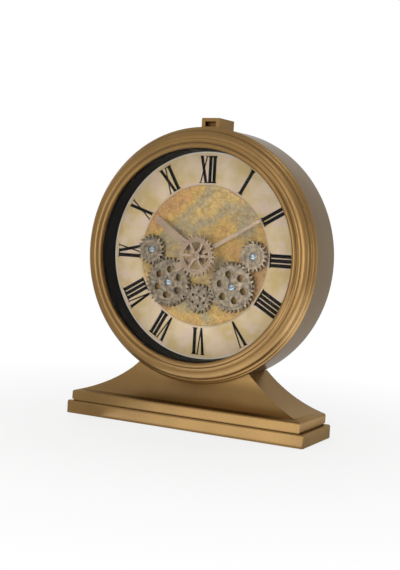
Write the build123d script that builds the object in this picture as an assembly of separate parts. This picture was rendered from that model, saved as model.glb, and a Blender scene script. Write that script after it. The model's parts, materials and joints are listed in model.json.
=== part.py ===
"""Mantel gear clock, in millimetres.

The origin is the middle of the base's footprint, on the table. +Z is up, and the dial faces -Y.
Depths are therefore Y values: a smaller Y is nearer to the viewer.
"""
import os
from math import acos, cos, hypot, pi, radians, sin, sqrt, tan

from build123d import *

os.makedirs("parts", exist_ok=True)

# Fits and allowances
run_gap = 0.05
fit_gap = 0.02
hole_gap = 0.1
seat_gap = 0.1
end_play = 0.15
over = 1.0

# Base slab
base_width = 260.0
base_depth = 71.0
slab_top_z = 13.5
slab_lift = 0.5
slab_edge_r = 2.0
plinth_wall = 3.0
plinth_roof = 2.0
base_cover_thick = 1.5
base_screw_r = 1.5
base_head_r = 3.0
base_head_height = 0.8
base_boss_r = 4.5
base_boss_inset_x = 34.0
base_boss_inset_y = 11.0
foot_height = 2.0
foot_radius = 7.0
foot_inset_x = 15.0
foot_inset_y = 13.0

# Pedestal, with the step along its lower edge
groove_height = 1.4
groove_inset = 1.0
step_inset_x = 4.8
step_inset_front = 2.3
step_inset_rear = 3.0
flank_foot_z = 23.5
flank_radius = 140.0
neck_half_width = 60.2
neck_z = 59.351
cove_foot_z = 23.0
cove_top_z = 59.1
cove_radius = 37.0
neck_front_y = -10.4
step_edge_r = 2.0
pedestal_wall = 4.5
pedestal_screw_r = 2.0
pedestal_head_r = 4.0
pedestal_head_height = 2.2
pedestal_screw_depth = 9.0
pedestal_boss_r = 5.0
pedestal_screw_inset_x = 26.0
pedestal_screw_inset_y = 20.5

# Case drum and its rear ledge
drum_inset = 5.0
drum_wall = 2.0
drum_front_y = -12.5
drum_rear_inset = 2.5
drum_edge_r = 1.2
ledge_width = 10.0
ledge_thick = 2.0
saddle_bolt_r = 2.5
saddle_head_r = 4.5
saddle_head_height = 3.0
saddle_nut_height = 4.0
saddle_bolt_end = 2.0
saddle_bolt_front_inset = 11.4
saddle_bolt_rear_inset = 12.5

# Crown block on top of the drum
crown_width = 20.0
crown_front_y = -2.5
crown_rise = 10.1
crown_edge_r = 0.8
crown_recess_width = 11.6
crown_recess_height = 4.9
crown_recess_depth = 6.0
crown_recess_drop = 6.0
crown_screw_r = 2.0
crown_screw_depth = 7.0
crown_head_r = 4.0
crown_head_height = 2.4

# Front ring: its outline, from the drum inwards, in shares of its width and of its rise
bezel_width = 21.0
bezel_rise = 14.6
outer_bead_shares = ((0, 0.048), (0.014, 0.144), (0.062, 0.185))
inner_bead_shares = ((0.076, 0.199), (0.1, 0.37), (0.171, 0.432))
groove_shares = ((0.181, 0.418), (0.21, 0.438))
torus_shares = ((0.229, 0.486), (0.362, 0.788), (0.552, 0.815))
cove_shares = ((0.56, 0.801), (0.667, 0.781), (0.771, 0.87))
lip_shares = ((0.778, 0.897), (0.886, 1), (1, 0.897))
bezel_back_thick = 1.5
bezel_skirt_thick = 1.7
bezel_skirt_length = 6.0
bezel_land_width = 5.4

# Glass, its gasket and the black wall round the dial
lens_thick = 2.0
lens_lap = 3.5
lens_sink = 10.0
gasket_thick = 0.8
sleeve_inset = 0.8
sleeve_taper = 1.0
sleeve_wall = 1.5
sleeve_flange = 9.6
sleeve_flange_thick = 1.5
sleeve_seat_thick = 2.0
rim_screw_r = 1.2
rim_head_r = 2.0
rim_head_height = 1.3
rim_screw_count = 6
bezel_screw_depth = 2.6

# Dial
dial_front_y = -1.5
dial_thick = 2.0

# Gear train on the dial
gear_module = 1.4
large_teeth = 34
small_teeth = 20
drive_drop = 42.3
large_rise_deg = 21.4
small_rise_deg = 56.0
gear_lift = 3.0
gear_thick = 3.0
gear_raise = 0.5
rim_width = 1.5
rim_inset = 0.9
hub_radius = 5.2
large_hole_r = 3.4
large_hole_ring_r = 13.0
small_disc_r = 9.6
small_disc_wall = 1.4
drive_hole_r = 1.3
drive_hole_ring_r = 7.2
gear_hole_count = 6
post_r = 2.0
post_collar_r = 3.4
post_rivet_r = 3.2
post_rivet_thick = 0.8
gear_screw_r = 1.2
gear_screw_depth = 4.0
gear_head_r = 3.6
gear_head_height = 1.8
gear_slot_width = 0.8
gear_slot_length = 3.6
gear_slot_depth = 0.7

# Teeth
pressure = radians(20)
tip_share = 0.95
root_share = 1.25
tooth_share = 0.43
flank_shares = (0, 0.3, 0.6, 1)

# Hands and the gear in front of them
hour_angle = 305.0
minute_angle = 60.0
hand_thick = 0.8
hour_length = 62.0
hour_width = 6.8
hour_tail = 9.0
minute_length = 75.5
minute_width = 4.6
minute_tip_width = 3.4
minute_tail = 28.0
minute_tail_width = 8.0
minute_tail_length = 9.5
hand_boss_r = 5.4
hour_hand_gap = 1.2
minute_hand_gap = 1.2
centre_teeth = 28
centre_gap = 1.8
centre_thick = 2.2
centre_rim_r = 16.4
centre_rim_width = 1.4
centre_rim_raise = 0.5
centre_hub_r = 4.6
centre_spokes = 6
centre_spoke_width = 2.6
centre_web_width = 3.0
cap_r = 2.4
cap_height = 1.3

# Quartz movement
movement_size = 56.0
movement_corner_r = 3.0
movement_depth = 14.2
movement_wall = 1.2
movement_lid = 1.2
movement_seat = 0.8
movement_seat_r = 14.0
neck_r = 3.9
neck_length = 8.0
nut_width = 11.0
nut_thick = 2.5
washer_r = 7.0
washer_thick = 0.8
hour_tube_r = 2.55
hour_tube_wall = 0.65
minute_arbor_r = 1.85
seconds_arbor_r = 0.5
arbor_step = 0.4
pin_r = 0.8
pivot_depth = 0.6
wheel_floor_gap = 0.5
wheel_thick = 1.2
wheel_space = 0.7
pinion_extra = 0.2
motion_module = 0.5
cannon_teeth = 12
minute_wheel_teeth = 36
minute_pinion_teeth = 10
hour_wheel_teeth = 40
minute_wheel_deg = 20.0
setting_teeth = 18
setting_deg = 60.0
setting_shaft_r = 1.5
setting_socket_r = 2.6
setting_socket_height = 1.6
knob_r = 7.6
knob_thick = 4.0
knob_gap = 0.4
knob_ribs = 24
knob_rib_r = 0.5
train_distance = 10.8
third_deg = 160.0
centre_wheel_teeth = 75
third_pinion_teeth = 10
third_wheel_teeth = 80
seconds_pinion_teeth = 10
seconds_module = 0.3
seconds_wheel_teeth = 60
step_pinion_teeth = 10
step_deg = 75.0
rotor_module = 0.26
step_wheel_teeth = 50
rotor_pinion_teeth = 10
rotor_deg = 100.0
magnet_r = 3.0
magnet_height = 1.8
stator_thick = 1.0
stator_gap = 0.5
stator_margin = 1.6
coil_length = 14.0
coil_r = 3.0
coil_flange_r = 3.6
coil_flange_thick = 1.0
core_width = 2.0
core_rise = 3.0
core_run = 22.0
board_width = 4.8
board_height = 20.0
board_thick = 1.0

# Cells, and the bays that hold them
cell_r = 7.25
cell_length = 49.5
cell_nub_r = 2.75
cell_nub_length = 1.0
bay_gap = 0.1
bay_wall = 1.0
bay_end_room = 1.5
contact_thick = 0.4
contact_width = 8.0

# Gear motor
motor_module = 0.5
output_teeth = 36
reduction_pinion_teeth = 12
reduction_wheel_teeth = 32
motor_pinion_teeth = 10
gearbox_wall = 1.2
gearbox_depth = 8.0
gearbox_lid = 2.0
gearbox_half_height = 13.0
gearbox_right = 14.0
gearbox_left = 28.5
gearbox_gap = 0.2
gearbox_screw_r = 1.2
gearbox_head_r = 2.2
gearbox_head_height = 1.4
gearbox_boss_r = 2.6
gearbox_boss_inset = 3.0
gearbox_bite = 1.2
output_shaft_r = 2.5
output_pivot_r = 1.5
output_front = 0.8
reduction_pin_r = 1.0
motor_shaft_r = 1.0
motor_r = 8.0
motor_length = 13.0
motor_nose_r = 3.0
motor_tab_width = 2.0
motor_tab_height = 0.5
motor_tab_length = 2.0
motor_tab_spread = 4.0
motor_wheel_thick = 1.8

# Battery box of the gear motor, hung on the back cover
box_rise = 52.0
box_wall = 1.4
box_ear_width = 8.0
box_ear_height = 14.0
box_ear_thick = 2.5
box_cell_count = 2

# Back cover
back_thick = 1.5
back_gap = 0.3
back_screw_r = 1.4
back_head_r = 2.8
back_head_height = 1.3
back_screw_depth = 3.2
back_key_width = 10.0
back_key_rise = 0.8
back_window = 64.0
back_window_r = 4.0

# Slide switch of the gear motor
switch_x = 48.0
switch_length = 14.0
switch_height = 8.0
switch_depth = 6.5
switch_wall = 1.2
switch_travel = 3.0
slider_gap = 0.2
slider_base_thick = 2.0
slider_nub_length = 4.0
slider_nub_height = 3.6
slider_nub_rise = 2.2

# Radii, heights and depths that follow from the sizes above
drum_radius = base_width / 2 - drum_inset
dial_z = neck_z + sqrt(drum_radius ** 2 - neck_half_width ** 2)
crown_top_z = dial_z + drum_radius + crown_rise
bezel_inner_r = drum_radius - bezel_width
sleeve_radius = bezel_inner_r - sleeve_inset
sight_r = sleeve_radius - sleeve_taper
lens_front_y = drum_front_y - lens_sink
lens_rear_y = lens_front_y + lens_thick
sleeve_front_y = lens_rear_y + gasket_thick
lens_r = bezel_inner_r + lens_lap
land_r = lens_r + hole_gap + bezel_land_width
sleeve_outer_r = sleeve_radius + sleeve_flange
dial_r = sleeve_outer_r
dial_rear_y = dial_front_y + dial_thick
step_rear_y = base_depth / 2 - step_inset_rear
drum_rear_y = step_rear_y - drum_rear_inset
back_inner_y = drum_rear_y - ledge_thick
back_outer_y = back_inner_y + back_thick
ledge_r = drum_radius - drum_wall - ledge_width
back_r = drum_radius - drum_wall - back_gap
back_ring_r = (back_r + ledge_r) / 2
bezel_ring_r = (lens_r + land_r) / 2
dial_ring_r = (sleeve_radius + sleeve_wall + sleeve_outer_r) / 2
gear_rear_y = dial_front_y - gear_lift
gear_front_y = gear_rear_y - gear_thick
gear_top_y = gear_front_y - gear_raise
gear_screw_y = gear_top_y - end_play
hour_rear_y = gear_screw_y - gear_head_height - hour_hand_gap
hour_front_y = hour_rear_y - hand_thick
minute_rear_y = hour_front_y - minute_hand_gap
minute_front_y = minute_rear_y - hand_thick
centre_rear_y = minute_front_y - centre_gap
centre_front_y = centre_rear_y - centre_thick
movement_front_y = dial_rear_y + movement_seat
movement_floor_y = movement_front_y + movement_wall
movement_lid_y = movement_front_y + movement_depth
movement_rear_y = movement_lid_y + movement_lid
gearbox_front_y = dial_rear_y + gearbox_gap
gearbox_floor_y = gearbox_front_y + gearbox_wall
gearbox_lid_y = gearbox_front_y + gearbox_depth
gearbox_rear_y = gearbox_lid_y + gearbox_lid

# Places of the gears, as seen from the front, and how far each is turned so that the teeth mesh


def polar(origin, distance, angle):
    """Point at a distance and an angle from another one."""
    return (origin[0] + distance * cos(radians(angle)), origin[1] + distance * sin(radians(angle)))


def mesh_distance(teeth_a, teeth_b, module):
    """Distance between two meshed gears' centres."""
    return (teeth_a + teeth_b) * module / 2


def mesh_turn(turn, teeth, next_teeth, direction):
    """Turn of a gear that meshes with one of a known turn and lies in a known direction from it."""
    return direction + 180 + 180 / next_teeth - (turn - direction) * teeth / next_teeth


def side_angle(angle, side):
    """Angle on the right (side 1), or its mirror image on the left (side -1)."""
    return angle if side > 0 else 180 - angle


axis_at = (0, dial_z)
drive_at = (0, dial_z - drive_drop)
gear_distance = mesh_distance(large_teeth, small_teeth, gear_module)
drive_turn = 90
large_at = {}
large_turn = {}
small_at = {}
small_turn = {}
for side in (-1, 1):
    to_large = side_angle(large_rise_deg, side)
    to_small = side_angle(small_rise_deg, side)
    large_at[side] = polar(drive_at, gear_distance, to_large)
    large_turn[side] = mesh_turn(drive_turn, small_teeth, large_teeth, to_large)
    small_at[side] = polar(large_at[side], gear_distance, to_small)
    small_turn[side] = mesh_turn(large_turn[side], large_teeth, small_teeth, to_small)

motion_distance = mesh_distance(cannon_teeth, minute_wheel_teeth, motion_module)
hour_module = 2 * motion_distance / (minute_pinion_teeth + hour_wheel_teeth)
minute_wheel_at = polar(axis_at, motion_distance, minute_wheel_deg)
setting_distance = mesh_distance(minute_wheel_teeth, setting_teeth, motion_module)
setting_at = polar(minute_wheel_at, setting_distance, setting_deg)
centre_module = 2 * train_distance / (centre_wheel_teeth + third_pinion_teeth)
third_module = 2 * train_distance / (third_wheel_teeth + seconds_pinion_teeth)
third_at = polar(axis_at, train_distance, third_deg)
step_at = polar(axis_at, mesh_distance(seconds_wheel_teeth, step_pinion_teeth, seconds_module), step_deg)
rotor_at = polar(step_at, mesh_distance(step_wheel_teeth, rotor_pinion_teeth, rotor_module), rotor_deg)
reduction_at = polar(drive_at, mesh_distance(output_teeth, reduction_pinion_teeth, motor_module), 180)
motor_at = polar(reduction_at, mesh_distance(reduction_wheel_teeth, motor_pinion_teeth, motor_module), 180)

# Layers of the movement's wheels, from the front wall back
layer_pitch = wheel_thick + wheel_space
hour_layer_y = movement_floor_y + wheel_floor_gap + wheel_thick
minute_layer_y = hour_layer_y + layer_pitch
centre_layer_y = minute_layer_y + layer_pitch
third_layer_y = centre_layer_y + layer_pitch
seconds_layer_y = third_layer_y + layer_pitch
step_layer_y = seconds_layer_y + layer_pitch

# Bay of the movement's cell, along its lower edge
bay_floor_z = dial_z - movement_size / 2 + movement_wall
movement_cell_z = bay_floor_z + bay_gap + cell_r
bay_roof_z = movement_cell_z + cell_r + bay_gap
bay_half_length = (cell_length + cell_nub_length) / 2 + bay_end_room
movement_cell_y = movement_floor_y + bay_gap + cell_r

# Bays of the gear motor's cells
box_z = dial_z + box_rise
box_half_length = bay_half_length + box_wall
box_pitch = 2 * (cell_r + bay_gap)
box_half_height = box_cell_count * box_pitch / 2 + box_wall
box_cell_y = back_inner_y - bay_gap - cell_r
box_floor_y = box_cell_y - cell_r - bay_gap
box_front_y = box_floor_y - box_wall
box_ear_x = box_half_length + box_ear_width / 2


# Shapes that several pieces share


def facing(x, y, z):
    """Plane at a point as the viewer sees it: right, up, and its normal towards the viewer."""
    return Plane(origin=(x, y, z), x_dir=(1, 0, 0), z_dir=(0, -1, 0))


def rod(at, radius, rear, front):
    """Round bar along the depth."""
    low = (Align.CENTER, Align.CENTER, Align.MIN)
    return facing(at[0], rear, at[1]) * Cylinder(radius, rear - front, align=low)


def plate(sketch, at, rear, front):
    """Plate cut to a sketch that is drawn as seen from the front."""
    return extrude(facing(at[0], rear, at[1]) * sketch, amount=rear - front)


def upright(x, y, radius, low, high):
    """Round bar along Z."""
    grow = (Align.CENTER, Align.CENTER, Align.MIN)
    return Pos(x, y, low) * Cylinder(radius, high - low, align=grow)


def block(x, y, z):
    """Box between two values on each axis."""
    low = Pos(min(x), min(y), min(z))
    return low * Box(max(x) - min(x), max(y) - min(y), max(z) - min(z), align=(Align.MIN,) * 3)


def turned(profile):
    """Ring about the dial's axis, from a face drawn as radius across and depth along."""
    return revolve(Plane((0, 0, dial_z)) * profile, axis=Axis((0, 0, dial_z), (0, 1, 0)))


def group(shapes):
    """Several separate solids as one shape."""
    return Part() + list(shapes)


def ring_points(radius, count, first=0):
    """Evenly spaced points round the dial's axis."""
    return [polar(axis_at, radius, first + 360 * index / count) for index in range(count)]


def gear_face(teeth, module, turn):
    """Outline of a spur gear: involute flanks in short straight runs, one tooth at the turn's angle."""
    pitch_r = teeth * module / 2
    base_r = pitch_r * cos(pressure)
    root_r = pitch_r - root_share * module
    height = (tip_share + root_share) * module
    half_pitch = pi * tooth_share / teeth

    def half_angle(radius):
        angle = acos(min(1, base_r / radius))
        return half_pitch + (tan(pressure) - pressure) - (tan(angle) - angle)

    radii = [root_r + share * height for share in flank_shares]
    corners = []
    for tooth in range(teeth):
        middle = radians(turn) + 2 * pi * tooth / teeth
        flank = [(radius, middle - half_angle(radius)) for radius in radii]
        flank += [(radius, middle + half_angle(radius)) for radius in reversed(radii)]
        corners += [(radius * cos(angle), radius * sin(angle)) for radius, angle in flank]
    return make_face(Polyline(*corners, close=True))


def gear(at, teeth, module, turn, rear, front):
    """Toothed wheel without a bore."""
    return plate(gear_face(teeth, module, turn), at, rear, front)


def screw(at, shank_r, head_r, head_height, seat, tip):
    """Pan-head screw along the depth: its head stands behind the seat, its shank runs forward to the tip."""
    return rod(at, head_r, seat + head_height, seat) + rod(at, shank_r, seat, tip)


def cell(y, z, reverse):
    """Dry cell lying along X, its nub to the right unless it is reversed."""
    turn = -90 if reverse else 90
    length = cell_length + cell_nub_length
    grow = (Align.CENTER, Align.CENTER, Align.MIN)
    body = Pos(0, 0, -length / 2) * Cylinder(cell_r, cell_length, align=grow)
    nub_low = Pos(0, 0, cell_length - length / 2)
    nub = nub_low * Cylinder(cell_nub_r, cell_nub_length, align=grow)
    return Pos(0, y, z) * Rot(0, turn, 0) * (body + nub)


def contacts(y, z):
    """Leaf contacts at both ends of a cell's bay: an upright leaf and a tongue bent in to the cell."""
    leaves = []
    for side in (-1, 1):
        wall_x = side * bay_half_length
        leaf_x = wall_x - side * contact_thick
        tongue_x = side * ((cell_length + cell_nub_length) / 2 + seat_gap)
        span = (y - contact_width / 2, y + contact_width / 2)
        leaf = block((wall_x, leaf_x), span, (z - contact_width / 2, z + contact_width / 2))
        tongue = block((leaf_x, tongue_x), span, (z - contact_thick / 2, z + contact_thick / 2))
        leaves.append(leaf + tongue)
    return leaves


# Base


def slab_box(inset, low, high):
    """Block of the base's footprint, drawn in on every side."""
    half_x = base_width / 2 - inset
    half_y = base_depth / 2 - inset
    return block((-half_x, half_x), (-half_y, half_y), (low, high))


def corner_points(inset_x, inset_y):
    """Points near the base's four corners."""
    x = base_width / 2 - inset_x
    y = base_depth / 2 - inset_y
    return [(-x, -y), (x, -y), (-x, y), (x, y)]


def pedestal_screw_points():
    """Places of the screws that hold the pedestal down."""
    return corner_points(pedestal_screw_inset_x, pedestal_screw_inset_y)


base_cover_top_z = foot_height + base_cover_thick
plinth_roof_z = slab_top_z - plinth_roof


def make_base_plinth():
    shell = slab_box(0, slab_lift, slab_top_z)
    rounded = shell.edges().filter_by(Axis.Z) + shell.faces().sort_by(Axis.Z)[-1].edges()
    shell = fillet(rounded, slab_edge_r)
    shell -= slab_box(plinth_wall, slab_lift - over, plinth_roof_z)
    for x, y in corner_points(base_boss_inset_x, base_boss_inset_y):
        shell += upright(x, y, base_boss_r, base_cover_top_z, plinth_roof_z)
        shell -= upright(x, y, base_screw_r + hole_gap, base_cover_top_z - over, plinth_roof_z - over)
    for x, y in pedestal_screw_points():
        shell -= upright(x, y, pedestal_screw_r + hole_gap, plinth_roof_z - over, slab_top_z + over)
    return shell


def make_base_cover():
    cover = slab_box(plinth_wall + seat_gap, foot_height, base_cover_top_z)
    for x, y in corner_points(base_boss_inset_x, base_boss_inset_y):
        cover -= upright(x, y, base_screw_r + hole_gap, foot_height - over, base_cover_top_z + over)
    return cover


def make_base_cover_screws():
    screws = []
    for x, y in corner_points(base_boss_inset_x, base_boss_inset_y):
        head = upright(x, y, base_head_r, foot_height - base_head_height, foot_height)
        screws.append(head + upright(x, y, base_screw_r, foot_height, plinth_roof_z - over - seat_gap))
    return group(screws)


def make_rubber_feet():
    points = corner_points(foot_inset_x, foot_inset_y)
    return group(upright(x, y, foot_radius, 0, foot_height) for x, y in points)


# Pedestal


def arc_centre(start, end, radius, side):
    """Centre of the arc of a radius through two points, on the left (1) or the right (-1) of the run."""
    run = (end[0] - start[0], end[1] - start[1])
    length = hypot(*run)
    reach = side * sqrt(radius ** 2 - length ** 2 / 4) / length
    middle = ((start[0] + end[0]) / 2, (start[1] + end[1]) / 2)
    return (middle[0] - reach * run[1], middle[1] + reach * run[0])


groove_top_z = slab_top_z + groove_height
step_half_x = base_width / 2 - step_inset_x
step_front_y = step_inset_front - base_depth / 2
saddle_r = drum_radius + seat_gap
saddle_bolt_ys = (neck_front_y + saddle_bolt_front_inset, step_rear_y - saddle_bolt_rear_inset)
flank_centre = arc_centre((step_half_x, flank_foot_z), (neck_half_width, neck_z), flank_radius, -1)
cove_centre = arc_centre((step_front_y, cove_foot_z), (neck_front_y, cove_top_z), cove_radius, 1)


def flank_sketch(inset, low, edge_r):
    """Pedestal seen from the front: its concave flanks, its saddle and the rounded shoulders of its step."""
    half = step_half_x - inset
    high = dial_z - drum_radius / 2
    face = Pos(0, (low + high) / 2) * Rectangle(2 * half, high - low)
    for side in (-1, 1):
        face -= Pos(side * flank_centre[0], flank_centre[1]) * Circle(flank_radius + inset)
    face -= Pos(0, dial_z) * Circle(saddle_r + inset)
    shoulders = face.vertices().filter_by(lambda vertex: abs(vertex.X) > half - fit_gap).sort_by(Axis.Y)[-2:]
    return fillet(shoulders, edge_r) if edge_r else face


def cove_sketch(inset, low, edge_r):
    """Pedestal seen from its right side: flat at the rear, with a cove and a rounded shoulder in front."""
    front = step_front_y + inset
    rear = step_rear_y - inset
    high = dial_z - drum_radius / 2
    face = Pos((front + rear) / 2, (low + high) / 2) * Rectangle(rear - front, high - low)
    face -= Pos(*cove_centre) * Circle(cove_radius + inset)
    shoulder = face.vertices().filter_by(lambda vertex: vertex.X < front + fit_gap).sort_by(Axis.Y)[1]
    return fillet(shoulder, edge_r) if edge_r else face


def pedestal_form(inset, low, edge_r=0):
    """Flared form with a cove in front, a concave flank on each side and a saddle for the drum."""
    form = extrude(facing(0, base_depth, 0) * flank_sketch(inset, low, edge_r), amount=2 * base_depth)
    return form & extrude(Plane.YZ * cove_sketch(inset, low, edge_r), amount=base_width, both=True)


def make_pedestal():
    outer = pedestal_form(0, groove_top_z, step_edge_r)
    half = step_half_x - groove_inset
    front = step_front_y + groove_inset
    rear = step_rear_y - groove_inset
    shell = outer + block((-half, half), (front, rear), (slab_top_z, groove_top_z))
    shell -= pedestal_form(pedestal_wall + groove_inset, slab_top_z - over)
    hole_top = slab_top_z + pedestal_screw_depth + over
    for x, y in pedestal_screw_points():
        shell += upright(x, y, pedestal_boss_r, slab_top_z, groove_top_z)
        shell += upright(x, y, pedestal_boss_r, groove_top_z, cove_top_z) & outer
        shell -= upright(x, y, pedestal_screw_r + hole_gap, slab_top_z - over, hole_top)
    for y in saddle_bolt_ys:
        shell -= upright(0, y, saddle_bolt_r + hole_gap, slab_top_z, dial_z)
    return shell


def make_pedestal_screws():
    screws = []
    for x, y in pedestal_screw_points():
        head = upright(x, y, pedestal_head_r, plinth_roof_z - pedestal_head_height, plinth_roof_z)
        shank = upright(x, y, pedestal_screw_r, plinth_roof_z, slab_top_z + pedestal_screw_depth)
        screws.append(head + shank)
    return group(screws)


def make_saddle_bolts():
    seat_z = dial_z - saddle_r - pedestal_wall - groove_inset
    nut_z = dial_z - sqrt((drum_radius - drum_wall) ** 2 - saddle_head_r ** 2)
    bolts = []
    for y in saddle_bolt_ys:
        head = upright(0, y, saddle_head_r, seat_z - seat_gap - saddle_head_height, seat_z - seat_gap)
        end_z = nut_z + saddle_nut_height + saddle_bolt_end
        bolts.append(head + upright(0, y, saddle_bolt_r, seat_z - seat_gap, end_z))
        nut = Pos(0, y, nut_z) * extrude(RegularPolygon(saddle_head_r, 6), amount=saddle_nut_height)
        bolts.append(nut - upright(0, y, saddle_bolt_r + fit_gap, nut_z - over, end_z + over))
    return group(bolts)


# Drum, crown block and front ring


def make_drum_shell():
    inner = drum_radius - drum_wall
    rim = Polyline(
        (drum_radius, drum_rear_y - drum_edge_r),
        (drum_radius, drum_front_y),
        (inner, drum_front_y),
        (inner, back_inner_y - ledge_thick),
        (ledge_r, back_inner_y - ledge_thick),
        (ledge_r, back_inner_y),
        (inner, back_inner_y),
        (inner, drum_rear_y),
        (drum_radius - drum_edge_r, drum_rear_y),
    )
    corner = RadiusArc(rim @ 1, rim @ 0, -drum_edge_r)
    shell = turned(make_face(rim + corner))
    half = back_key_width / 2 + back_gap
    low = dial_z - back_r - back_key_rise - back_gap
    shell -= block((-half, half), (back_inner_y, drum_rear_y + over), (low, dial_z - ledge_r))
    for at in ring_points(back_ring_r, rim_screw_count, 90):
        shell -= rod(at, back_screw_r + hole_gap, back_inner_y + over, back_inner_y - ledge_thick - over)
    for y in saddle_bolt_ys:
        shell -= upright(0, y, saddle_bolt_r + hole_gap, 0, dial_z)
    return shell - upright(0, crown_mid_y, crown_screw_r + hole_gap, dial_z, crown_top_z)


crown_mid_y = (crown_front_y + drum_rear_y) / 2


def make_crown_block():
    half = crown_width / 2
    form = block((-half, half), (crown_front_y, drum_rear_y), (dial_z + drum_radius / 2, crown_top_z))
    form -= rod(axis_at, saddle_r, drum_rear_y + over, crown_front_y - over)
    top = form.faces().sort_by(Axis.Z)[-1]
    form = fillet(top.edges() + form.edges().filter_by(Axis.Z), crown_edge_r)
    recess_at = (0, crown_top_z - crown_recess_drop)
    recess = Rectangle(crown_recess_width, crown_recess_height)
    form -= plate(recess, recess_at, crown_front_y + crown_recess_depth, crown_front_y - over)
    screw_top_z = dial_z + saddle_r + crown_screw_depth
    return form - upright(0, crown_mid_y, crown_screw_r + hole_gap, dial_z, screw_top_z + seat_gap)


def make_crown_screw():
    seat_z = dial_z + sqrt((drum_radius - drum_wall) ** 2 - crown_head_r ** 2)
    head = upright(0, crown_mid_y, crown_head_r, seat_z - crown_head_height, seat_z)
    return head + upright(0, crown_mid_y, crown_screw_r, seat_z, dial_z + saddle_r + crown_screw_depth)


def bezel_point(shares):
    """Point of the front ring's outline, from its shares of the width and of the rise."""
    return (drum_radius - shares[0] * bezel_width, drum_front_y - shares[1] * bezel_rise)


def make_bezel():
    outline = []
    at = (drum_radius, drum_front_y)
    for run in (outer_bead_shares, inner_bead_shares, groove_shares, torus_shares, cove_shares, lip_shares):
        points = [bezel_point(shares) for shares in run]
        outline.append(Line(at, points[0]))
        outline.append(ThreePointArc(*points) if len(points) == 3 else Line(*points))
        at = points[-1]
    skirt_r = drum_radius - drum_wall - seat_gap
    skirt_inner_r = skirt_r - bezel_skirt_thick
    groove_y = bezel_point(groove_shares[0])[1]
    back_y = groove_y + bezel_back_thick
    outline.append(Polyline(
        at,
        (bezel_inner_r, lens_front_y),
        (lens_r + hole_gap, lens_front_y),
        (lens_r + hole_gap, sleeve_front_y),
        (land_r, sleeve_front_y),
        (land_r, back_y),
        (skirt_inner_r, back_y),
        (skirt_inner_r, drum_front_y + bezel_skirt_length),
        (skirt_r, drum_front_y + bezel_skirt_length),
        (skirt_r, drum_front_y),
        (drum_radius, drum_front_y),
    ))
    ring = turned(make_face(Curve() + outline))
    hole_end = sleeve_front_y - bezel_screw_depth - seat_gap
    for point in ring_points(bezel_ring_r, rim_screw_count):
        ring -= rod(point, rim_screw_r + hole_gap, sleeve_front_y + over, hole_end)
    return ring


def make_bezel_screws():
    seat = sleeve_front_y + sleeve_flange_thick
    tip = sleeve_front_y - bezel_screw_depth
    points = ring_points(bezel_ring_r, rim_screw_count)
    return group(screw(at, rim_screw_r, rim_head_r, rim_head_height, seat, tip) for at in points)


# Glass, sleeve and dial


def make_lens():
    return rod(axis_at, lens_r, lens_rear_y, lens_front_y)


def make_lens_gasket():
    ring = rod(axis_at, lens_r, sleeve_front_y, lens_rear_y)
    return ring - rod(axis_at, bezel_inner_r, sleeve_front_y + over, lens_rear_y - over)


def make_dial_sleeve():
    seat_front = dial_front_y - sleeve_seat_thick
    flange_rear = sleeve_front_y + sleeve_flange_thick
    section = Polyline(
        (sleeve_radius, sleeve_front_y),
        (sleeve_outer_r, sleeve_front_y),
        (sleeve_outer_r, flange_rear),
        (sleeve_radius + sleeve_wall, flange_rear),
        (sight_r + sleeve_wall, seat_front),
        (sleeve_outer_r, seat_front),
        (sleeve_outer_r, dial_front_y),
        (sight_r, dial_front_y),
        close=True,
    )
    sleeve = turned(make_face(section))
    for at in ring_points(bezel_ring_r, rim_screw_count):
        sleeve -= rod(at, rim_screw_r + hole_gap, flange_rear + over, sleeve_front_y - over)
    for at in ring_points(dial_ring_r, rim_screw_count):
        sleeve -= rod(at, rim_screw_r + hole_gap, dial_front_y + over, seat_front - over)
    return sleeve


def gearbox_screw_points():
    """Places of the screws at the gearbox's four corners."""
    x_low = drive_at[0] - gearbox_left + gearbox_boss_inset
    x_high = drive_at[0] + gearbox_right - gearbox_boss_inset
    z_step = gearbox_half_height - gearbox_boss_inset
    return [(x, drive_at[1] + side * z_step) for x in (x_low, x_high) for side in (-1, 1)]


def post_points():
    """Places of the four gear posts."""
    return [large_at[-1], large_at[1], small_at[-1], small_at[1]]


def make_dial_plate():
    dial = rod(axis_at, dial_r, dial_rear_y, dial_front_y)
    through = [(axis_at, neck_r + hole_gap), (drive_at, output_shaft_r + hole_gap + hole_gap)]
    through += [(at, post_r + fit_gap) for at in post_points()]
    through += [(at, rim_screw_r + hole_gap) for at in ring_points(dial_ring_r, rim_screw_count)]
    for at, radius in through:
        dial -= rod(at, radius, dial_rear_y + over, dial_front_y - over)
    for at in gearbox_screw_points():
        dial -= rod(at, gearbox_screw_r + fit_gap, dial_rear_y + over, dial_rear_y - gearbox_bite - seat_gap)
    return dial


def make_dial_screws():
    tip = dial_front_y - sleeve_seat_thick
    points = ring_points(dial_ring_r, rim_screw_count)
    return group(screw(at, rim_screw_r, rim_head_r, rim_head_height, dial_rear_y, tip) for at in points)


# Gears on the dial


def gear_holes(at, ring_r, hole_r, turn):
    """Round holes through a dial gear."""
    step = 360 / gear_hole_count
    centres = [polar(at, ring_r, turn + step * index) for index in range(gear_hole_count)]
    return [rod(centre, hole_r, gear_rear_y + over, gear_top_y - over) for centre in centres]


def raised_ring(at, outer, width):
    """Ring that stands up from a dial gear's face."""
    ring = rod(at, outer, gear_front_y, gear_top_y)
    return ring - rod(at, outer - width, gear_front_y + over, gear_top_y - over)


def post_bore(at):
    """Running bore of a gear on its post."""
    return rod(at, post_r + run_gap, gear_rear_y + over, gear_top_y - over)


def root_radius(teeth, module):
    """Radius at the foot of the teeth."""
    return module * (teeth / 2 - root_share)


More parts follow.
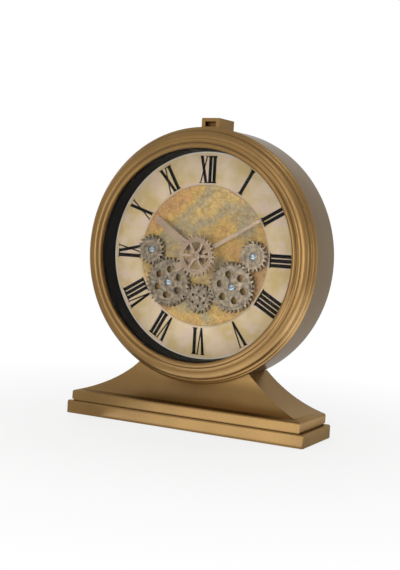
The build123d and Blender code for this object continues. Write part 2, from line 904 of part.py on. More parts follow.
def make_large_gear(side):
    at = large_at[side]
    wheel = gear(at, large_teeth, gear_module, large_turn[side], gear_rear_y, gear_front_y)
    wheel += raised_ring(at, root_radius(large_teeth, gear_module) - rim_inset, rim_width)
    wheel += rod(at, hub_radius, gear_front_y, gear_top_y)
    for hole in gear_holes(at, large_hole_ring_r, large_hole_r, large_turn[side]):
        wheel -= hole
    return wheel - post_bore(at)


def make_small_gear(side):
    at = small_at[side]
    wheel = gear(at, small_teeth, gear_module, small_turn[side], gear_rear_y, gear_front_y)
    wheel += raised_ring(at, small_disc_r, small_disc_wall)
    wheel += rod(at, hub_radius, gear_front_y, gear_top_y)
    return wheel - post_bore(at)


def make_drive_gear():
    wheel = gear(drive_at, small_teeth, gear_module, drive_turn, gear_rear_y, gear_front_y)
    wheel += raised_ring(drive_at, root_radius(small_teeth, gear_module) - rim_inset, rim_width)
    for hole in gear_holes(drive_at, drive_hole_ring_r, drive_hole_r, drive_turn):
        wheel -= hole
    return wheel - rod(drive_at, output_shaft_r + fit_gap, gear_rear_y + over, gear_top_y - over)


def make_gear_posts():
    posts = []
    bore_end = gear_screw_y + gear_screw_depth + over
    for at in post_points():
        post = rod(at, post_rivet_r, dial_rear_y + post_rivet_thick, dial_rear_y)
        post += rod(at, post_r, dial_rear_y, gear_screw_y)
        post += rod(at, post_collar_r, dial_front_y, gear_rear_y + end_play)
        posts.append(post - rod(at, gear_screw_r + fit_gap, bore_end, gear_screw_y - over))
    return group(posts)


def make_gear_screws():
    screws = []
    for at in post_points():
        dome_r = (gear_head_r ** 2 + gear_head_height ** 2) / (2 * gear_head_height)
        dome = facing(at[0], gear_screw_y - gear_head_height + dome_r, at[1]) * Sphere(dome_r)
        head = dome & rod(at, gear_head_r, gear_screw_y, gear_screw_y - gear_head_height - over)
        for turn in (0, 90):
            slot = Rot(0, 0, turn) * Rectangle(gear_slot_length, gear_slot_width)
            head_front = gear_screw_y - gear_head_height
            head -= plate(slot, at, head_front + gear_slot_depth, head_front - over)
        screws.append(head + rod(at, gear_screw_r, gear_screw_y + gear_screw_depth, gear_screw_y))
    return group(screws)


# Hands and centre gear


def make_hour_hand():
    tip = hour_width / 2
    bar = Polyline(
        (-hour_tail, -tip),
        (hour_length - tip, -tip),
        (hour_length, 0),
        (hour_length - tip, tip),
        (-hour_tail, tip),
        close=True,
    )
    outline = Rot(0, 0, 90 - hour_angle) * (make_face(bar) + Circle(hand_boss_r))
    hand = plate(outline, axis_at, hour_rear_y, hour_front_y)
    return hand - rod(axis_at, hour_tube_r + fit_gap, hour_rear_y + over, hour_front_y - over)


def make_minute_hand():
    half = minute_width / 2
    tip = minute_tip_width / 2
    tail = minute_tail_width / 2
    neck = minute_tail_length - minute_tail
    bar = Polyline(
        (-minute_tail, -tail),
        (neck, -tail),
        (neck, -half),
        (0, -half),
        (minute_length, -tip),
        (minute_length, tip),
        (0, half),
        (neck, half),
        (neck, tail),
        (-minute_tail, tail),
        close=True,
    )
    outline = Rot(0, 0, 90 - minute_angle) * (make_face(bar) + Circle(hand_boss_r))
    hand = plate(outline, axis_at, minute_rear_y, minute_front_y)
    return hand - rod(axis_at, minute_arbor_r + fit_gap, minute_rear_y + over, minute_front_y - over)


def make_centre_gear():
    rim_top_y = centre_front_y - centre_rim_raise
    wheel = gear(axis_at, centre_teeth, gear_module, 0, centre_rear_y, centre_front_y)
    wheel -= rod(axis_at, centre_rim_r - centre_web_width, centre_rear_y + over, centre_front_y - over)
    rim = rod(axis_at, centre_rim_r, centre_front_y, rim_top_y)
    wheel += rim - rod(axis_at, centre_rim_r - centre_rim_width, centre_front_y + over, rim_top_y - over)
    pairs = centre_spokes // 2
    for index in range(pairs):
        spoke = Rot(0, 0, 180 * index / pairs) * Rectangle(2 * centre_rim_r, centre_spoke_width)
        wheel += plate(spoke, axis_at, centre_rear_y, centre_front_y)
    wheel += rod(axis_at, centre_hub_r, centre_rear_y, rim_top_y)
    return wheel - rod(axis_at, seconds_arbor_r + fit_gap, centre_rear_y + over, rim_top_y - over)


def make_centre_cap():
    seat_y = centre_front_y - centre_rim_raise
    cap_sphere_r = (cap_r ** 2 + cap_height ** 2) / (2 * cap_height)
    dome = facing(0, seat_y - cap_height + cap_sphere_r, dial_z) * Sphere(cap_sphere_r)
    return dome & rod(axis_at, cap_r, seat_y, seat_y - cap_height - over)


# Movement case


def make_movement_base():
    outline = RectangleRounded(movement_size, movement_size, movement_corner_r)
    inside = movement_size / 2 - movement_wall
    case = plate(outline, axis_at, movement_lid_y, movement_front_y)
    works_z = (bay_roof_z + bay_wall, dial_z + inside)
    case -= block((-inside, inside), (movement_floor_y, movement_lid_y + over), works_z)
    bay_x = (-bay_half_length, bay_half_length)
    case -= block(bay_x, (movement_floor_y, movement_lid_y + over), (bay_floor_z, bay_roof_z))
    neck_end = movement_front_y - neck_length
    case += rod(axis_at, neck_r, movement_floor_y, neck_end)
    case += rod(minute_wheel_at, pin_r, minute_layer_y + end_play, movement_floor_y)
    socket_y = movement_floor_y + setting_socket_height
    case += rod(setting_at, setting_socket_r, socket_y, movement_floor_y)
    case -= rod(setting_at, setting_shaft_r + run_gap, socket_y + over, movement_floor_y)
    return case - rod(axis_at, hour_tube_r + run_gap, movement_floor_y + over, neck_end - over)


def make_movement_cover():
    half = movement_size / 2
    outline = RectangleRounded(movement_size, movement_size, movement_corner_r)
    lid = plate(outline, axis_at, movement_rear_y, movement_lid_y)
    depth = (movement_lid_y - over, movement_rear_y + over)
    lid -= block((-half - over, half + over), depth, (0, bay_roof_z))
    for at, end in ((third_at, centre_layer_y - wheel_thick), (step_at, seconds_layer_y - wheel_thick)):
        lid += rod(at, pin_r, movement_lid_y, end - pinion_extra)
    lid += rod(rotor_at, pin_r, movement_lid_y, seconds_layer_y - wheel_thick - pinion_extra)
    lid -= rod(setting_at, setting_shaft_r + run_gap, movement_rear_y + over, movement_lid_y - over)
    pivot_end = movement_lid_y + pivot_depth + end_play
    return lid - rod(axis_at, seconds_arbor_r + run_gap, pivot_end, movement_lid_y - over)


def make_movement_gasket():
    pad = rod(axis_at, movement_seat_r, movement_front_y, dial_rear_y)
    return pad - rod(axis_at, neck_r + hole_gap, movement_front_y + over, dial_rear_y - over)


def make_movement_nut():
    washer_front = dial_front_y - washer_thick
    washer = rod(axis_at, washer_r, dial_front_y, washer_front)
    hexagon = RegularPolygon(nut_width / 2, 6, major_radius=False)
    nut = plate(hexagon, axis_at, washer_front, washer_front - nut_thick)
    hole = rod(axis_at, neck_r + fit_gap, dial_front_y + over, washer_front - nut_thick - over)
    return group([washer - hole, nut - hole])


def make_movement_cell():
    return cell(movement_cell_y, movement_cell_z, False)


def make_circuit_board():
    left = -movement_size / 2 + movement_wall + seat_gap
    low = bay_roof_z + bay_wall + seat_gap
    floor = (movement_floor_y, movement_floor_y + board_thick)
    return block((left, left + board_width), floor, (low, low + board_height))


# Stepping motor of the movement

stator_mid_y = seconds_layer_y - wheel_thick / 2
core_z = rotor_at[1] + core_rise
coil_end_x = rotor_at[0] - magnet_r - stator_gap - stator_margin - coil_flange_thick
coil_x = coil_end_x - coil_length / 2


def make_stator():
    span = (stator_mid_y - stator_thick / 2, stator_mid_y + stator_thick / 2)
    eye_r = magnet_r + stator_gap
    right_x = rotor_at[0] + eye_r + stator_margin
    height = (core_z - core_width / 2, core_z + core_width / 2)
    bar = block((right_x - core_run - coil_flange_r, right_x), span, height)
    bar += rod(rotor_at, eye_r + stator_margin, span[1], span[0])
    return bar - rod(rotor_at, eye_r, span[1] + over, span[0] - over)


def make_drive_coil():
    winding = Cylinder(coil_r, coil_length)
    flange_x = (coil_length - coil_flange_thick) / 2
    for side in (-1, 1):
        winding += Pos(0, 0, side * flange_x) * Cylinder(coil_flange_r, coil_flange_thick)
    winding -= Cylinder(hypot(core_width, stator_thick) / 2 + seat_gap, coil_length + over)
    return Pos(coil_x, stator_mid_y, core_z) * Rot(0, 90, 0) * winding


def pin_bore(at, rear, front):
    """Running bore of a wheel on its fixed pin."""
    return rod(at, pin_r + run_gap, rear + over, front - over)


def make_step_rotor():
    magnet_rear = stator_mid_y + magnet_height / 2
    magnet_front = magnet_rear - magnet_height
    pinion_rear = step_layer_y + pinion_extra
    turn = mesh_turn(step_turn, step_wheel_teeth, rotor_pinion_teeth, rotor_deg)
    rotor = rod(rotor_at, magnet_r, magnet_rear, magnet_front)
    rotor += gear(rotor_at, rotor_pinion_teeth, rotor_module, turn, pinion_rear, magnet_rear)
    return rotor - pin_bore(rotor_at, pinion_rear, magnet_front)


# Running train: seconds arbor, intermediate wheel, third wheel and centre wheel

seconds_turn = 0
step_turn = mesh_turn(seconds_turn, seconds_wheel_teeth, step_pinion_teeth, step_deg)
third_turn = mesh_turn(seconds_turn, seconds_pinion_teeth, third_wheel_teeth, third_deg)


def make_intermediate_wheel():
    front = seconds_layer_y - wheel_thick - pinion_extra
    wheel = gear(step_at, step_wheel_teeth, rotor_module, step_turn, step_layer_y, step_layer_y - wheel_thick)
    wheel += gear(step_at, step_pinion_teeth, seconds_module, step_turn, step_layer_y - wheel_thick, front)
    return wheel - pin_bore(step_at, step_layer_y, front)


def make_seconds_arbor():
    front = centre_front_y - centre_rim_raise
    arbor = rod(axis_at, seconds_arbor_r, movement_lid_y + pivot_depth, front)
    wheel_rear = seconds_layer_y
    wheel_front = wheel_rear - wheel_thick
    pinion_front = third_layer_y - wheel_thick - pinion_extra
    arbor += gear(axis_at, seconds_pinion_teeth, third_module, seconds_turn, wheel_front, pinion_front)
    return arbor + gear(axis_at, seconds_wheel_teeth, seconds_module, seconds_turn, wheel_rear, wheel_front)


def make_third_wheel():
    front = centre_layer_y - wheel_thick - pinion_extra
    middle = third_layer_y - wheel_thick
    wheel = gear(third_at, third_wheel_teeth, third_module, third_turn, third_layer_y, middle)
    wheel += gear(third_at, third_pinion_teeth, centre_module, third_turn, middle, front)
    return wheel - pin_bore(third_at, third_layer_y, front)


def make_centre_wheel():
    turn = mesh_turn(third_turn, third_pinion_teeth, centre_wheel_teeth, third_deg + 180)
    front = centre_layer_y - wheel_thick
    wheel = gear(axis_at, centre_wheel_teeth, centre_module, turn, centre_layer_y, front)
    return wheel - rod(axis_at, minute_arbor_r + run_gap, centre_layer_y + over, front - over)


# Motion work: minute arbor, minute wheel, hour tube and setting knob

cannon_turn = 0
minute_wheel_turn = mesh_turn(cannon_turn, cannon_teeth, minute_wheel_teeth, minute_wheel_deg)


def make_minute_arbor():
    rear_end = centre_layer_y + arbor_step
    front_end = minute_front_y - arbor_step
    arbor = rod(axis_at, minute_arbor_r, rear_end, front_end)
    rear = minute_layer_y + pinion_extra
    front = minute_layer_y - wheel_thick - pinion_extra
    arbor += gear(axis_at, cannon_teeth, motion_module, cannon_turn, rear, front)
    return arbor - rod(axis_at, seconds_arbor_r + run_gap, rear_end + over, front_end - over)


def make_minute_wheel():
    front = hour_layer_y - wheel_thick - pinion_extra
    middle = minute_layer_y - wheel_thick
    turn = minute_wheel_turn
    wheel = gear(minute_wheel_at, minute_wheel_teeth, motion_module, turn, minute_layer_y, middle)
    wheel += gear(minute_wheel_at, minute_pinion_teeth, hour_module, turn, middle, front)
    return wheel - pin_bore(minute_wheel_at, minute_layer_y, front)


def make_hour_tube():
    turn = mesh_turn(minute_wheel_turn, minute_pinion_teeth, hour_wheel_teeth, minute_wheel_deg + 180)
    end = hour_front_y - arbor_step
    tube = rod(axis_at, hour_tube_r, hour_layer_y, end)
    tube += gear(axis_at, hour_wheel_teeth, hour_module, turn, hour_layer_y, hour_layer_y - wheel_thick)
    return tube - rod(axis_at, hour_tube_r - hour_tube_wall, hour_layer_y + over, end - over)


def make_setting_knob():
    turn = mesh_turn(minute_wheel_turn, minute_wheel_teeth, setting_teeth, setting_deg)
    knob_front = movement_rear_y + knob_gap
    knob = rod(setting_at, setting_shaft_r, knob_front, movement_floor_y + end_play)
    gear_front = minute_layer_y - wheel_thick - pinion_extra
    knob += gear(setting_at, setting_teeth, motion_module, turn, minute_layer_y + pinion_extra, gear_front)
    grip = rod(setting_at, knob_r, knob_front + knob_thick, knob_front)
    for index in range(knob_ribs):
        notch_at = polar(setting_at, knob_r, 360 * index / knob_ribs)
        grip -= rod(notch_at, knob_rib_r, knob_front + knob_thick + over, knob_front - over)
    return knob + grip


# Gear motor

output_wheel_y = gearbox_floor_y + wheel_floor_gap + motor_wheel_thick
reduction_wheel_y = output_wheel_y + wheel_space + motor_wheel_thick
reduction_turn = mesh_turn(0, output_teeth, reduction_pinion_teeth, 180)


def gearbox_outline(inset):
    """Rectangle of the gearbox, drawn in on every side, about the drive gear's axis."""
    middle = (gearbox_right - gearbox_left) / 2
    width = gearbox_left + gearbox_right - 2 * inset
    return Pos(middle, 0) * Rectangle(width, 2 * (gearbox_half_height - inset))


def make_gearbox_base():
    case = plate(gearbox_outline(0), drive_at, gearbox_lid_y, gearbox_front_y)
    case -= plate(gearbox_outline(gearbox_wall), drive_at, gearbox_lid_y + over, gearbox_floor_y)
    case += rod(reduction_at, reduction_pin_r, gearbox_lid_y - seat_gap, gearbox_floor_y)
    for at in gearbox_screw_points():
        case += rod(at, gearbox_boss_r, gearbox_lid_y, gearbox_floor_y)
        case -= rod(at, gearbox_screw_r + hole_gap, gearbox_lid_y + over, gearbox_front_y - over)
    return case - rod(drive_at, output_shaft_r + run_gap, gearbox_floor_y + over, gearbox_front_y - over)


def make_gearbox_cover():
    cover = plate(gearbox_outline(0), drive_at, gearbox_rear_y, gearbox_lid_y)
    for at in gearbox_screw_points():
        cover -= rod(at, gearbox_screw_r + hole_gap, gearbox_rear_y + over, gearbox_lid_y - over)
    cover -= rod(motor_at, motor_nose_r + fit_gap, gearbox_rear_y + over, gearbox_lid_y - over)
    return cover - rod(drive_at, output_pivot_r + run_gap, gearbox_rear_y + over, gearbox_lid_y - over)


def make_gearbox_screws():
    tip = dial_rear_y - gearbox_bite
    points = gearbox_screw_points()
    head = (gearbox_head_r, gearbox_head_height)
    return group(screw(at, gearbox_screw_r, *head, gearbox_rear_y, tip) for at in points)


def make_output_shaft():
    shaft = rod(drive_at, output_shaft_r, output_wheel_y, gear_top_y - output_front)
    wheel_front = output_wheel_y - motor_wheel_thick
    shaft += gear(drive_at, output_teeth, motor_module, 0, output_wheel_y, wheel_front)
    return shaft + rod(drive_at, output_pivot_r, gearbox_rear_y, output_wheel_y)


def make_reduction_gear():
    rear = reduction_wheel_y
    middle = rear - motor_wheel_thick
    front = output_wheel_y - motor_wheel_thick - pinion_extra
    wheel = gear(reduction_at, reduction_wheel_teeth, motor_module, reduction_turn, rear, middle)
    wheel += gear(reduction_at, reduction_pinion_teeth, motor_module, reduction_turn, middle, front)
    return wheel - rod(reduction_at, reduction_pin_r + run_gap, rear + over, front - over)


def make_motor_pinion():
    turn = mesh_turn(reduction_turn, reduction_wheel_teeth, motor_pinion_teeth, 180)
    rear = reduction_wheel_y + pinion_extra
    front = reduction_wheel_y - motor_wheel_thick - pinion_extra
    pinion = gear(motor_at, motor_pinion_teeth, motor_module, turn, rear, front)
    return pinion + rod(motor_at, motor_shaft_r, gearbox_rear_y + motor_length / 2, rear)


def make_motor_can():
    end = gearbox_rear_y + motor_length
    can = rod(motor_at, motor_r, end, gearbox_rear_y)
    can += rod(motor_at, motor_nose_r, gearbox_rear_y, gearbox_lid_y)
    for side in (-1, 1):
        tab = Pos(side * motor_tab_spread, 0) * Rectangle(motor_tab_width, motor_tab_height)
        can += plate(tab, motor_at, end + motor_tab_length, end)
    can_bore_end = gearbox_rear_y + motor_length / 2 + end_play
    return can - rod(motor_at, motor_shaft_r + run_gap, can_bore_end, gearbox_lid_y - over)


# Supply of the gear motor


def box_rows():
    """Heights of the cells in the battery box."""
    low = box_z - (box_cell_count - 1) * box_pitch / 2
    return [low + index * box_pitch for index in range(box_cell_count)]


def make_battery_box():
    inner_half = box_half_height - box_wall
    outer_z = (box_z - box_half_height, box_z + box_half_height)
    inner_z = (box_z - inner_half, box_z + inner_half)
    ear_z = (box_z - box_ear_height / 2, box_z + box_ear_height / 2)
    box = block((-box_half_length, box_half_length), (box_front_y, back_inner_y), outer_z)
    box -= block((-bay_half_length, bay_half_length), (box_floor_y, back_inner_y + over), inner_z)
    for side in (-1, 1):
        ear_x = (side * box_half_length, side * (box_half_length + box_ear_width))
        ear = block(ear_x, (back_inner_y - box_ear_thick, back_inner_y), ear_z)
        hole = rod((side * box_ear_x, box_z), back_screw_r + hole_gap, back_inner_y + over, box_front_y)
        box += ear - hole
    return box


def make_gear_cells():
    return group(cell(box_cell_y, z, index % 2 == 1) for index, z in enumerate(box_rows()))


def make_cell_contacts():
    leaves = contacts(movement_cell_y, movement_cell_z)
    for z in box_rows():
        leaves += contacts(box_cell_y, z)
    return group(leaves)


switch_at = (switch_x, dial_z + box_rise)
switch_front_y = back_inner_y - switch_depth
slider_inner = switch_height - 2 * switch_wall
slider_length = switch_length - 2 * switch_wall - switch_travel - 2 * slider_gap
slider_x = switch_x - switch_travel / 2


def make_switch_body():
    body = plate(Rectangle(switch_length, switch_height), switch_at, back_inner_y, switch_front_y)
    channel = Rectangle(switch_length - 2 * switch_wall, slider_inner)
    return body - plate(channel, switch_at, back_inner_y + over, back_inner_y - slider_base_thick - end_play)


def make_switch_slider():
    at = (slider_x, switch_at[1])
    base = Rectangle(slider_length, slider_inner - 2 * slider_gap)
    slider = plate(base, at, back_inner_y - end_play, back_inner_y - slider_base_thick)
    nub = Rectangle(slider_nub_length, slider_nub_height)
    return slider + plate(nub, at, back_outer_y + slider_nub_rise, back_inner_y - slider_base_thick)


# Back cover


def back_screw_points():
    """Places of the back cover's screws round its rim, then of those in the battery box's ears."""
    return ring_points(back_ring_r, rim_screw_count, 90) + [(-box_ear_x, box_z), (box_ear_x, box_z)]


def make_back_cover():
    cover = rod(axis_at, back_r, back_outer_y, back_inner_y)
    half = back_key_width / 2
    low = dial_z - back_r - back_key_rise
    cover += block((-half, half), (back_inner_y, back_outer_y), (low, dial_z - back_ring_r))
    rear = back_outer_y + over
    front = back_inner_y - over
    cover -= plate(RectangleRounded(back_window, back_window, back_window_r), axis_at, rear, front)
    bay_height = 2 * (box_half_height - box_wall)
    cover -= plate(Rectangle(2 * bay_half_length, bay_height), (0, box_z), rear, front)
    slot_length = slider_nub_length + switch_travel + 2 * slider_gap
    cover -= plate(Rectangle(slot_length, slider_nub_height + 2 * slider_gap), switch_at, rear, front)
    for at in back_screw_points():
        cover -= rod(at, back_screw_r + hole_gap, rear, front)
    return cover


def make_back_cover_screws():
    tip = back_outer_y - back_screw_depth
    points = back_screw_points()
    return group(screw(at, back_screw_r, back_head_r, back_head_height, back_outer_y, tip) for at in points)


pieces = {
    "base_plinth": make_base_plinth(),
    "base_cover": make_base_cover(),
    "base_cover_screws": make_base_cover_screws(),
    "rubber_feet": make_rubber_feet(),
    "pedestal": make_pedestal(),
    "pedestal_screws": make_pedestal_screws(),
    "saddle_bolts": make_saddle_bolts(),
    "drum_shell": make_drum_shell(),
    "crown_block": make_crown_block(),
    "crown_screw": make_crown_screw(),
    "bezel": make_bezel(),
    "bezel_screws": make_bezel_screws(),
    "lens": make_lens(),
    "lens_gasket": make_lens_gasket(),
    "dial_sleeve": make_dial_sleeve(),
    "dial_plate": make_dial_plate(),
    "dial_screws": make_dial_screws(),
    "left_large_gear": make_large_gear(-1),
    "right_large_gear": make_large_gear(1),
    "left_small_gear": make_small_gear(-1),
    "right_small_gear": make_small_gear(1),
    "drive_gear": make_drive_gear(),
    "gear_posts": make_gear_posts(),
    "gear_screws": make_gear_screws(),
    "hour_hand": make_hour_hand(),
    "minute_hand": make_minute_hand(),
    "centre_gear": make_centre_gear(),
    "centre_cap": make_centre_cap(),
    "movement_base": make_movement_base(),
    "movement_cover": make_movement_cover(),
    "movement_gasket": make_movement_gasket(),
    "movement_nut": make_movement_nut(),
    "movement_cell": make_movement_cell(),
    "circuit_board": make_circuit_board(),
    "stator": make_stator(),
    "drive_coil": make_drive_coil(),
    "step_rotor": make_step_rotor(),
    "intermediate_wheel": make_intermediate_wheel(),
    "seconds_arbor": make_seconds_arbor(),
    "third_wheel": make_third_wheel(),
    "centre_wheel": make_centre_wheel(),
    "minute_arbor": make_minute_arbor(),
    "minute_wheel": make_minute_wheel(),
    "hour_tube": make_hour_tube(),
    "setting_knob": make_setting_knob(),
    "gearbox_base": make_gearbox_base(),
    "gearbox_cover": make_gearbox_cover(),
    "gearbox_screws": make_gearbox_screws(),
    "output_shaft": make_output_shaft(),
    "reduction_gear": make_reduction_gear(),
    "motor_can": make_motor_can(),
    "motor_pinion": make_motor_pinion(),
    "battery_box": make_battery_box(),
    "gear_cells": make_gear_cells(),
    "cell_contacts": make_cell_contacts(),
    "switch_body": make_switch_body(),
    "switch_slider": make_switch_slider(),
    "back_cover": make_back_cover(),
    "back_cover_screws": make_back_cover_screws(),
}

for name, piece in pieces.items():
    export_step(piece, f"parts/{name}.step")
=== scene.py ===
# %% [markdown]
# # A mantel gear clock
# The clock's measured solids arrive as a fixed frame, so every piece already has its place and its
# joints. This lesson dresses them: satin gold lacquer on the case, an aged paper dial, pewter gears
# and clear glass. The dressed clock has to stay the same size.

# %% Load the frame
import json
import math

import bmesh
import bpy
from mathutils import Matrix, Vector


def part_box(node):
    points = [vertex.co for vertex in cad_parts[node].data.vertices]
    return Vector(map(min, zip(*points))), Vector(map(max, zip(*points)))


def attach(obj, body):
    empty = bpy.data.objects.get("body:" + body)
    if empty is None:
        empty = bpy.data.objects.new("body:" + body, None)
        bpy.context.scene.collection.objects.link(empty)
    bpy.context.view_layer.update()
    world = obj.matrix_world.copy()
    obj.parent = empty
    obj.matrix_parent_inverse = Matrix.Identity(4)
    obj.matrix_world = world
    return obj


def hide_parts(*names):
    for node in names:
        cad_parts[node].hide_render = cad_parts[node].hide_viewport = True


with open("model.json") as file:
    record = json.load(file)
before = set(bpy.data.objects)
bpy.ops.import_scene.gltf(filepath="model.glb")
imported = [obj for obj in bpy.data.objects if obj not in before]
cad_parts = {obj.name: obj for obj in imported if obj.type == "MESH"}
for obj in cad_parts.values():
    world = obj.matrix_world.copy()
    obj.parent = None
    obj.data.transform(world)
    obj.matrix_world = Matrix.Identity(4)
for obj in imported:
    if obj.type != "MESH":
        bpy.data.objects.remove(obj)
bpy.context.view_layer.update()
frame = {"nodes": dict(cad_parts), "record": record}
nodes = frame["nodes"]
bodies = frame["record"]["behaviour"]["bodies"]
body_of_node = {name: body for body, names in bodies.items() for name in names}

# %% [markdown]
# ## Camera
# The picture was taken from the clock's right, a little above its middle, with a long lens and a
# slight roll. The camera's place is written as an angle round the clock, a height angle and a
# distance from a target point. A portrait frame puts the sensor's long side upright, so the lens
# follows from the picture's height.

# %% Camera
mm = 0.001
picture_height = 570
sensor_side = 36
focal_pixels = 1065.32
camera_distance = 1040.61 * mm
azimuth = math.radians(27.52)
elevation = math.radians(3.35)
roll = math.radians(3.22)
aim = Vector((3.66, -12.5, 140.52)) * mm
backwards = Vector((
    math.sin(azimuth) * math.cos(elevation),
    -math.cos(azimuth) * math.cos(elevation),
    math.sin(elevation),
))
camera_data = bpy.data.cameras.new("portrait_camera")
camera_data.lens = focal_pixels * sensor_side / picture_height
camera = bpy.data.objects.new("portrait_camera", camera_data)
bpy.context.scene.collection.objects.link(camera)
turn = (-backwards).to_track_quat("-Z", "Y").to_matrix().to_4x4() @ Matrix.Rotation(roll, 4, "Z")
camera.matrix_world = Matrix.Translation(aim + backwards * camera_distance) @ turn
bpy.context.scene.camera = camera
bpy.context.scene.view_settings.view_transform = "Standard"
print("camera at", [round(value, 3) for value in camera.location])

# %% [markdown]
# ## Small tools for shader nodes
# A finish is a handful of nodes wired together. One helper makes a node and sets or links its
# inputs, and another opens a new material at its Principled shader, so that each recipe below stays
# short.

# %% Shader helpers


def add_node(tree, kind, inputs=None, **settings):
    made = tree.nodes.new(kind)
    for key, value in settings.items():
        setattr(made, key, value)
    for key, value in (inputs or {}).items():
        if isinstance(value, bpy.types.NodeSocket):
            tree.links.new(value, made.inputs[key])
        else:
            made.inputs[key].default_value = value
    return made


def math_node(tree, operation, first, second=0.0):
    return add_node(tree, "ShaderNodeMath", {0: first, 1: second}, operation=operation).outputs[0]


def blend_colours(tree, share, first, second):
    made = add_node(tree, "ShaderNodeMix", {0: share, 6: first, 7: second}, data_type="RGBA")
    return made.outputs[2]


def remap(tree, value, low, high, to_low, to_high):
    made = add_node(tree, "ShaderNodeMapRange", {0: value, 1: low, 2: high, 3: to_low, 4: to_high})
    return made.outputs[0]


def noise(tree, coords, scale, detail=2.0):
    made = add_node(tree, "ShaderNodeTexNoise", {"Vector": coords, "Scale": scale, "Detail": detail})
    return made.outputs[0]


def rgb(red, green, blue):
    """Linear colour for a shader socket, from a colour as a picture shows it."""
    linear = []
    for level in (red, green, blue):
        share = level / 255
        linear.append(share / 12.92 if share < 0.04045 else ((share + 0.055) / 1.055) ** 2.4)
    return (*linear, 1)


def open_material(name):
    made = bpy.data.materials.new(name)
    made.use_nodes = True
    tree = made.node_tree
    return made, tree, tree.nodes["Principled BSDF"]


def open_group(name, inputs, outputs):
    made = bpy.data.node_groups.new(name, "ShaderNodeTree")
    for label, kind in inputs:
        made.interface.new_socket(label, in_out="INPUT", socket_type=kind)
    for label, kind in outputs:
        made.interface.new_socket(label, in_out="OUTPUT", socket_type=kind)
    return made, made.nodes.new("NodeGroupInput").outputs, made.nodes.new("NodeGroupOutput").inputs


number = "NodeSocketFloat"
colour = "NodeSocketColor"
print("shader helpers ready")

# %% [markdown]
# ## Studio
# The clock stands on a plain pale floor against white. The white is what the camera, mirror-like
# reflections and the glass see of the world, while the lamps set how bright the clock is. A ray
# that has already bounced off a matt surface doesn't see it: otherwise the white would reach the
# dial through the glass as a second light. The floor is lifted towards white in the same way, a
# little less near the clock, so that it still takes the clock's soft shadow. Seen from below it is
# clear, and it lets light through to the few millimetres under the base, so the underside can be
# looked at.

# %% World
warm = (1, 0.98, 0.95)
ambient_strength = 0.35
white = (1, 1, 1, 1)
white_strength = 1.0


def background_rays(tree, path):
    """1 for a ray that finds the white background: straight from the camera, a mirror or the glass."""
    direct = math_node(tree, "MAXIMUM", path.outputs["Is Camera Ray"], path.outputs["Is Transmission Ray"])
    direct = math_node(tree, "MAXIMUM", direct, path.outputs["Is Glossy Ray"])
    no_bounce = math_node(tree, "LESS_THAN", path.outputs["Diffuse Depth"], 0.5)
    return math_node(tree, "MULTIPLY", direct, no_bounce)


world = bpy.data.worlds.new("studio")
bpy.context.scene.world = world
world.use_nodes = True
sky = world.node_tree
path = sky.nodes.new("ShaderNodeLightPath")
ambient = add_node(sky, "ShaderNodeBackground", {"Color": (*warm, 1), "Strength": ambient_strength})
backdrop = add_node(sky, "ShaderNodeBackground", {"Color": white, "Strength": white_strength})
seen = background_rays(sky, path)
sky_mix = add_node(sky, "ShaderNodeMixShader", {0: seen, 1: ambient.outputs[0], 2: backdrop.outputs[0]})
sky.links.new(sky_mix.outputs[0], sky.nodes["World Output"].inputs["Surface"])
print("world", world.name)

# %% Floor
floor_half_width = 6
floor_grain = 6
lift_near = 0.1
lift_far = 0.45
lift_near_share = 0.8
under_base = 6 * mm
floor_mesh = bmesh.new()
bmesh.ops.create_grid(floor_mesh, x_segments=1, y_segments=1, size=floor_half_width)
floor_data = bpy.data.meshes.new("floor")
floor_mesh.to_mesh(floor_data)
floor_mesh.free()
floor = bpy.data.objects.new("floor", floor_data)
bpy.context.scene.collection.objects.link(floor)
floor_finish, tree, shader = open_material("pale_floor")
coords = add_node(tree, "ShaderNodeTexCoord").outputs["Object"]
speckle = remap(tree, noise(tree, coords, floor_grain), 0, 1, 0.86, 0.9)
shader.inputs["Roughness"].default_value = 0.9
tree.links.new(speckle, shader.inputs["Base Color"])
floor_data.materials.append(floor_finish)
print("floor", 2 * floor_half_width, "m wide")

# %% Floor as the camera sees it
glow = add_node(tree, "ShaderNodeEmission", {"Color": white, "Strength": white_strength})
path = tree.nodes.new("ShaderNodeLightPath")
away = add_node(tree, "ShaderNodeVectorMath", {0: coords}, operation="LENGTH").outputs["Value"]
lift_share = remap(tree, away, lift_near, lift_far, lift_near_share, 1.0)
lift = math_node(tree, "MULTIPLY", background_rays(tree, path), lift_share)
floor_mix = add_node(tree, "ShaderNodeMixShader", {0: lift, 1: shader.outputs[0], 2: glow.outputs[0]})
below = add_node(tree, "ShaderNodeNewGeometry").outputs["Backfacing"]
close = math_node(tree, "LESS_THAN", path.outputs["Ray Length"], under_base)
bounced = math_node(tree, "MAXIMUM", path.outputs["Is Diffuse Ray"], path.outputs["Is Shadow Ray"])
open_to = math_node(tree, "MAXIMUM", below, math_node(tree, "MULTIPLY", close, bounced))
clear = tree.nodes.new("ShaderNodeBsdfTransparent")
choices = {0: open_to, 1: floor_mix.outputs[0], 2: clear.outputs[0]}
floor_open = add_node(tree, "ShaderNodeMixShader", choices)
tree.links.new(floor_open.outputs[0], tree.nodes["Material Output"].inputs["Surface"])
print("floor lifted towards white beyond", lift_far, "m")

# %% [markdown]
# ## Lamps
# The main lamp stands in front, a little to the left, where the glass doesn't mirror it to the
# camera, and a low one under it brightens the base towards its right end. A tall lamp at the right
# and flat panels on the table are what the ring's right half and the base reflect as a bright
# sweep, and a lamp high in front lights the ring's upper right. The panels lie in the picture, so
# the camera doesn't see them. The lamp at the left rear is for the clock's back. It stands wide and
# low, so that the drum's top doesn't mirror it to the front.

# %% Lamps
cool = (0.93, 1, 1.15)


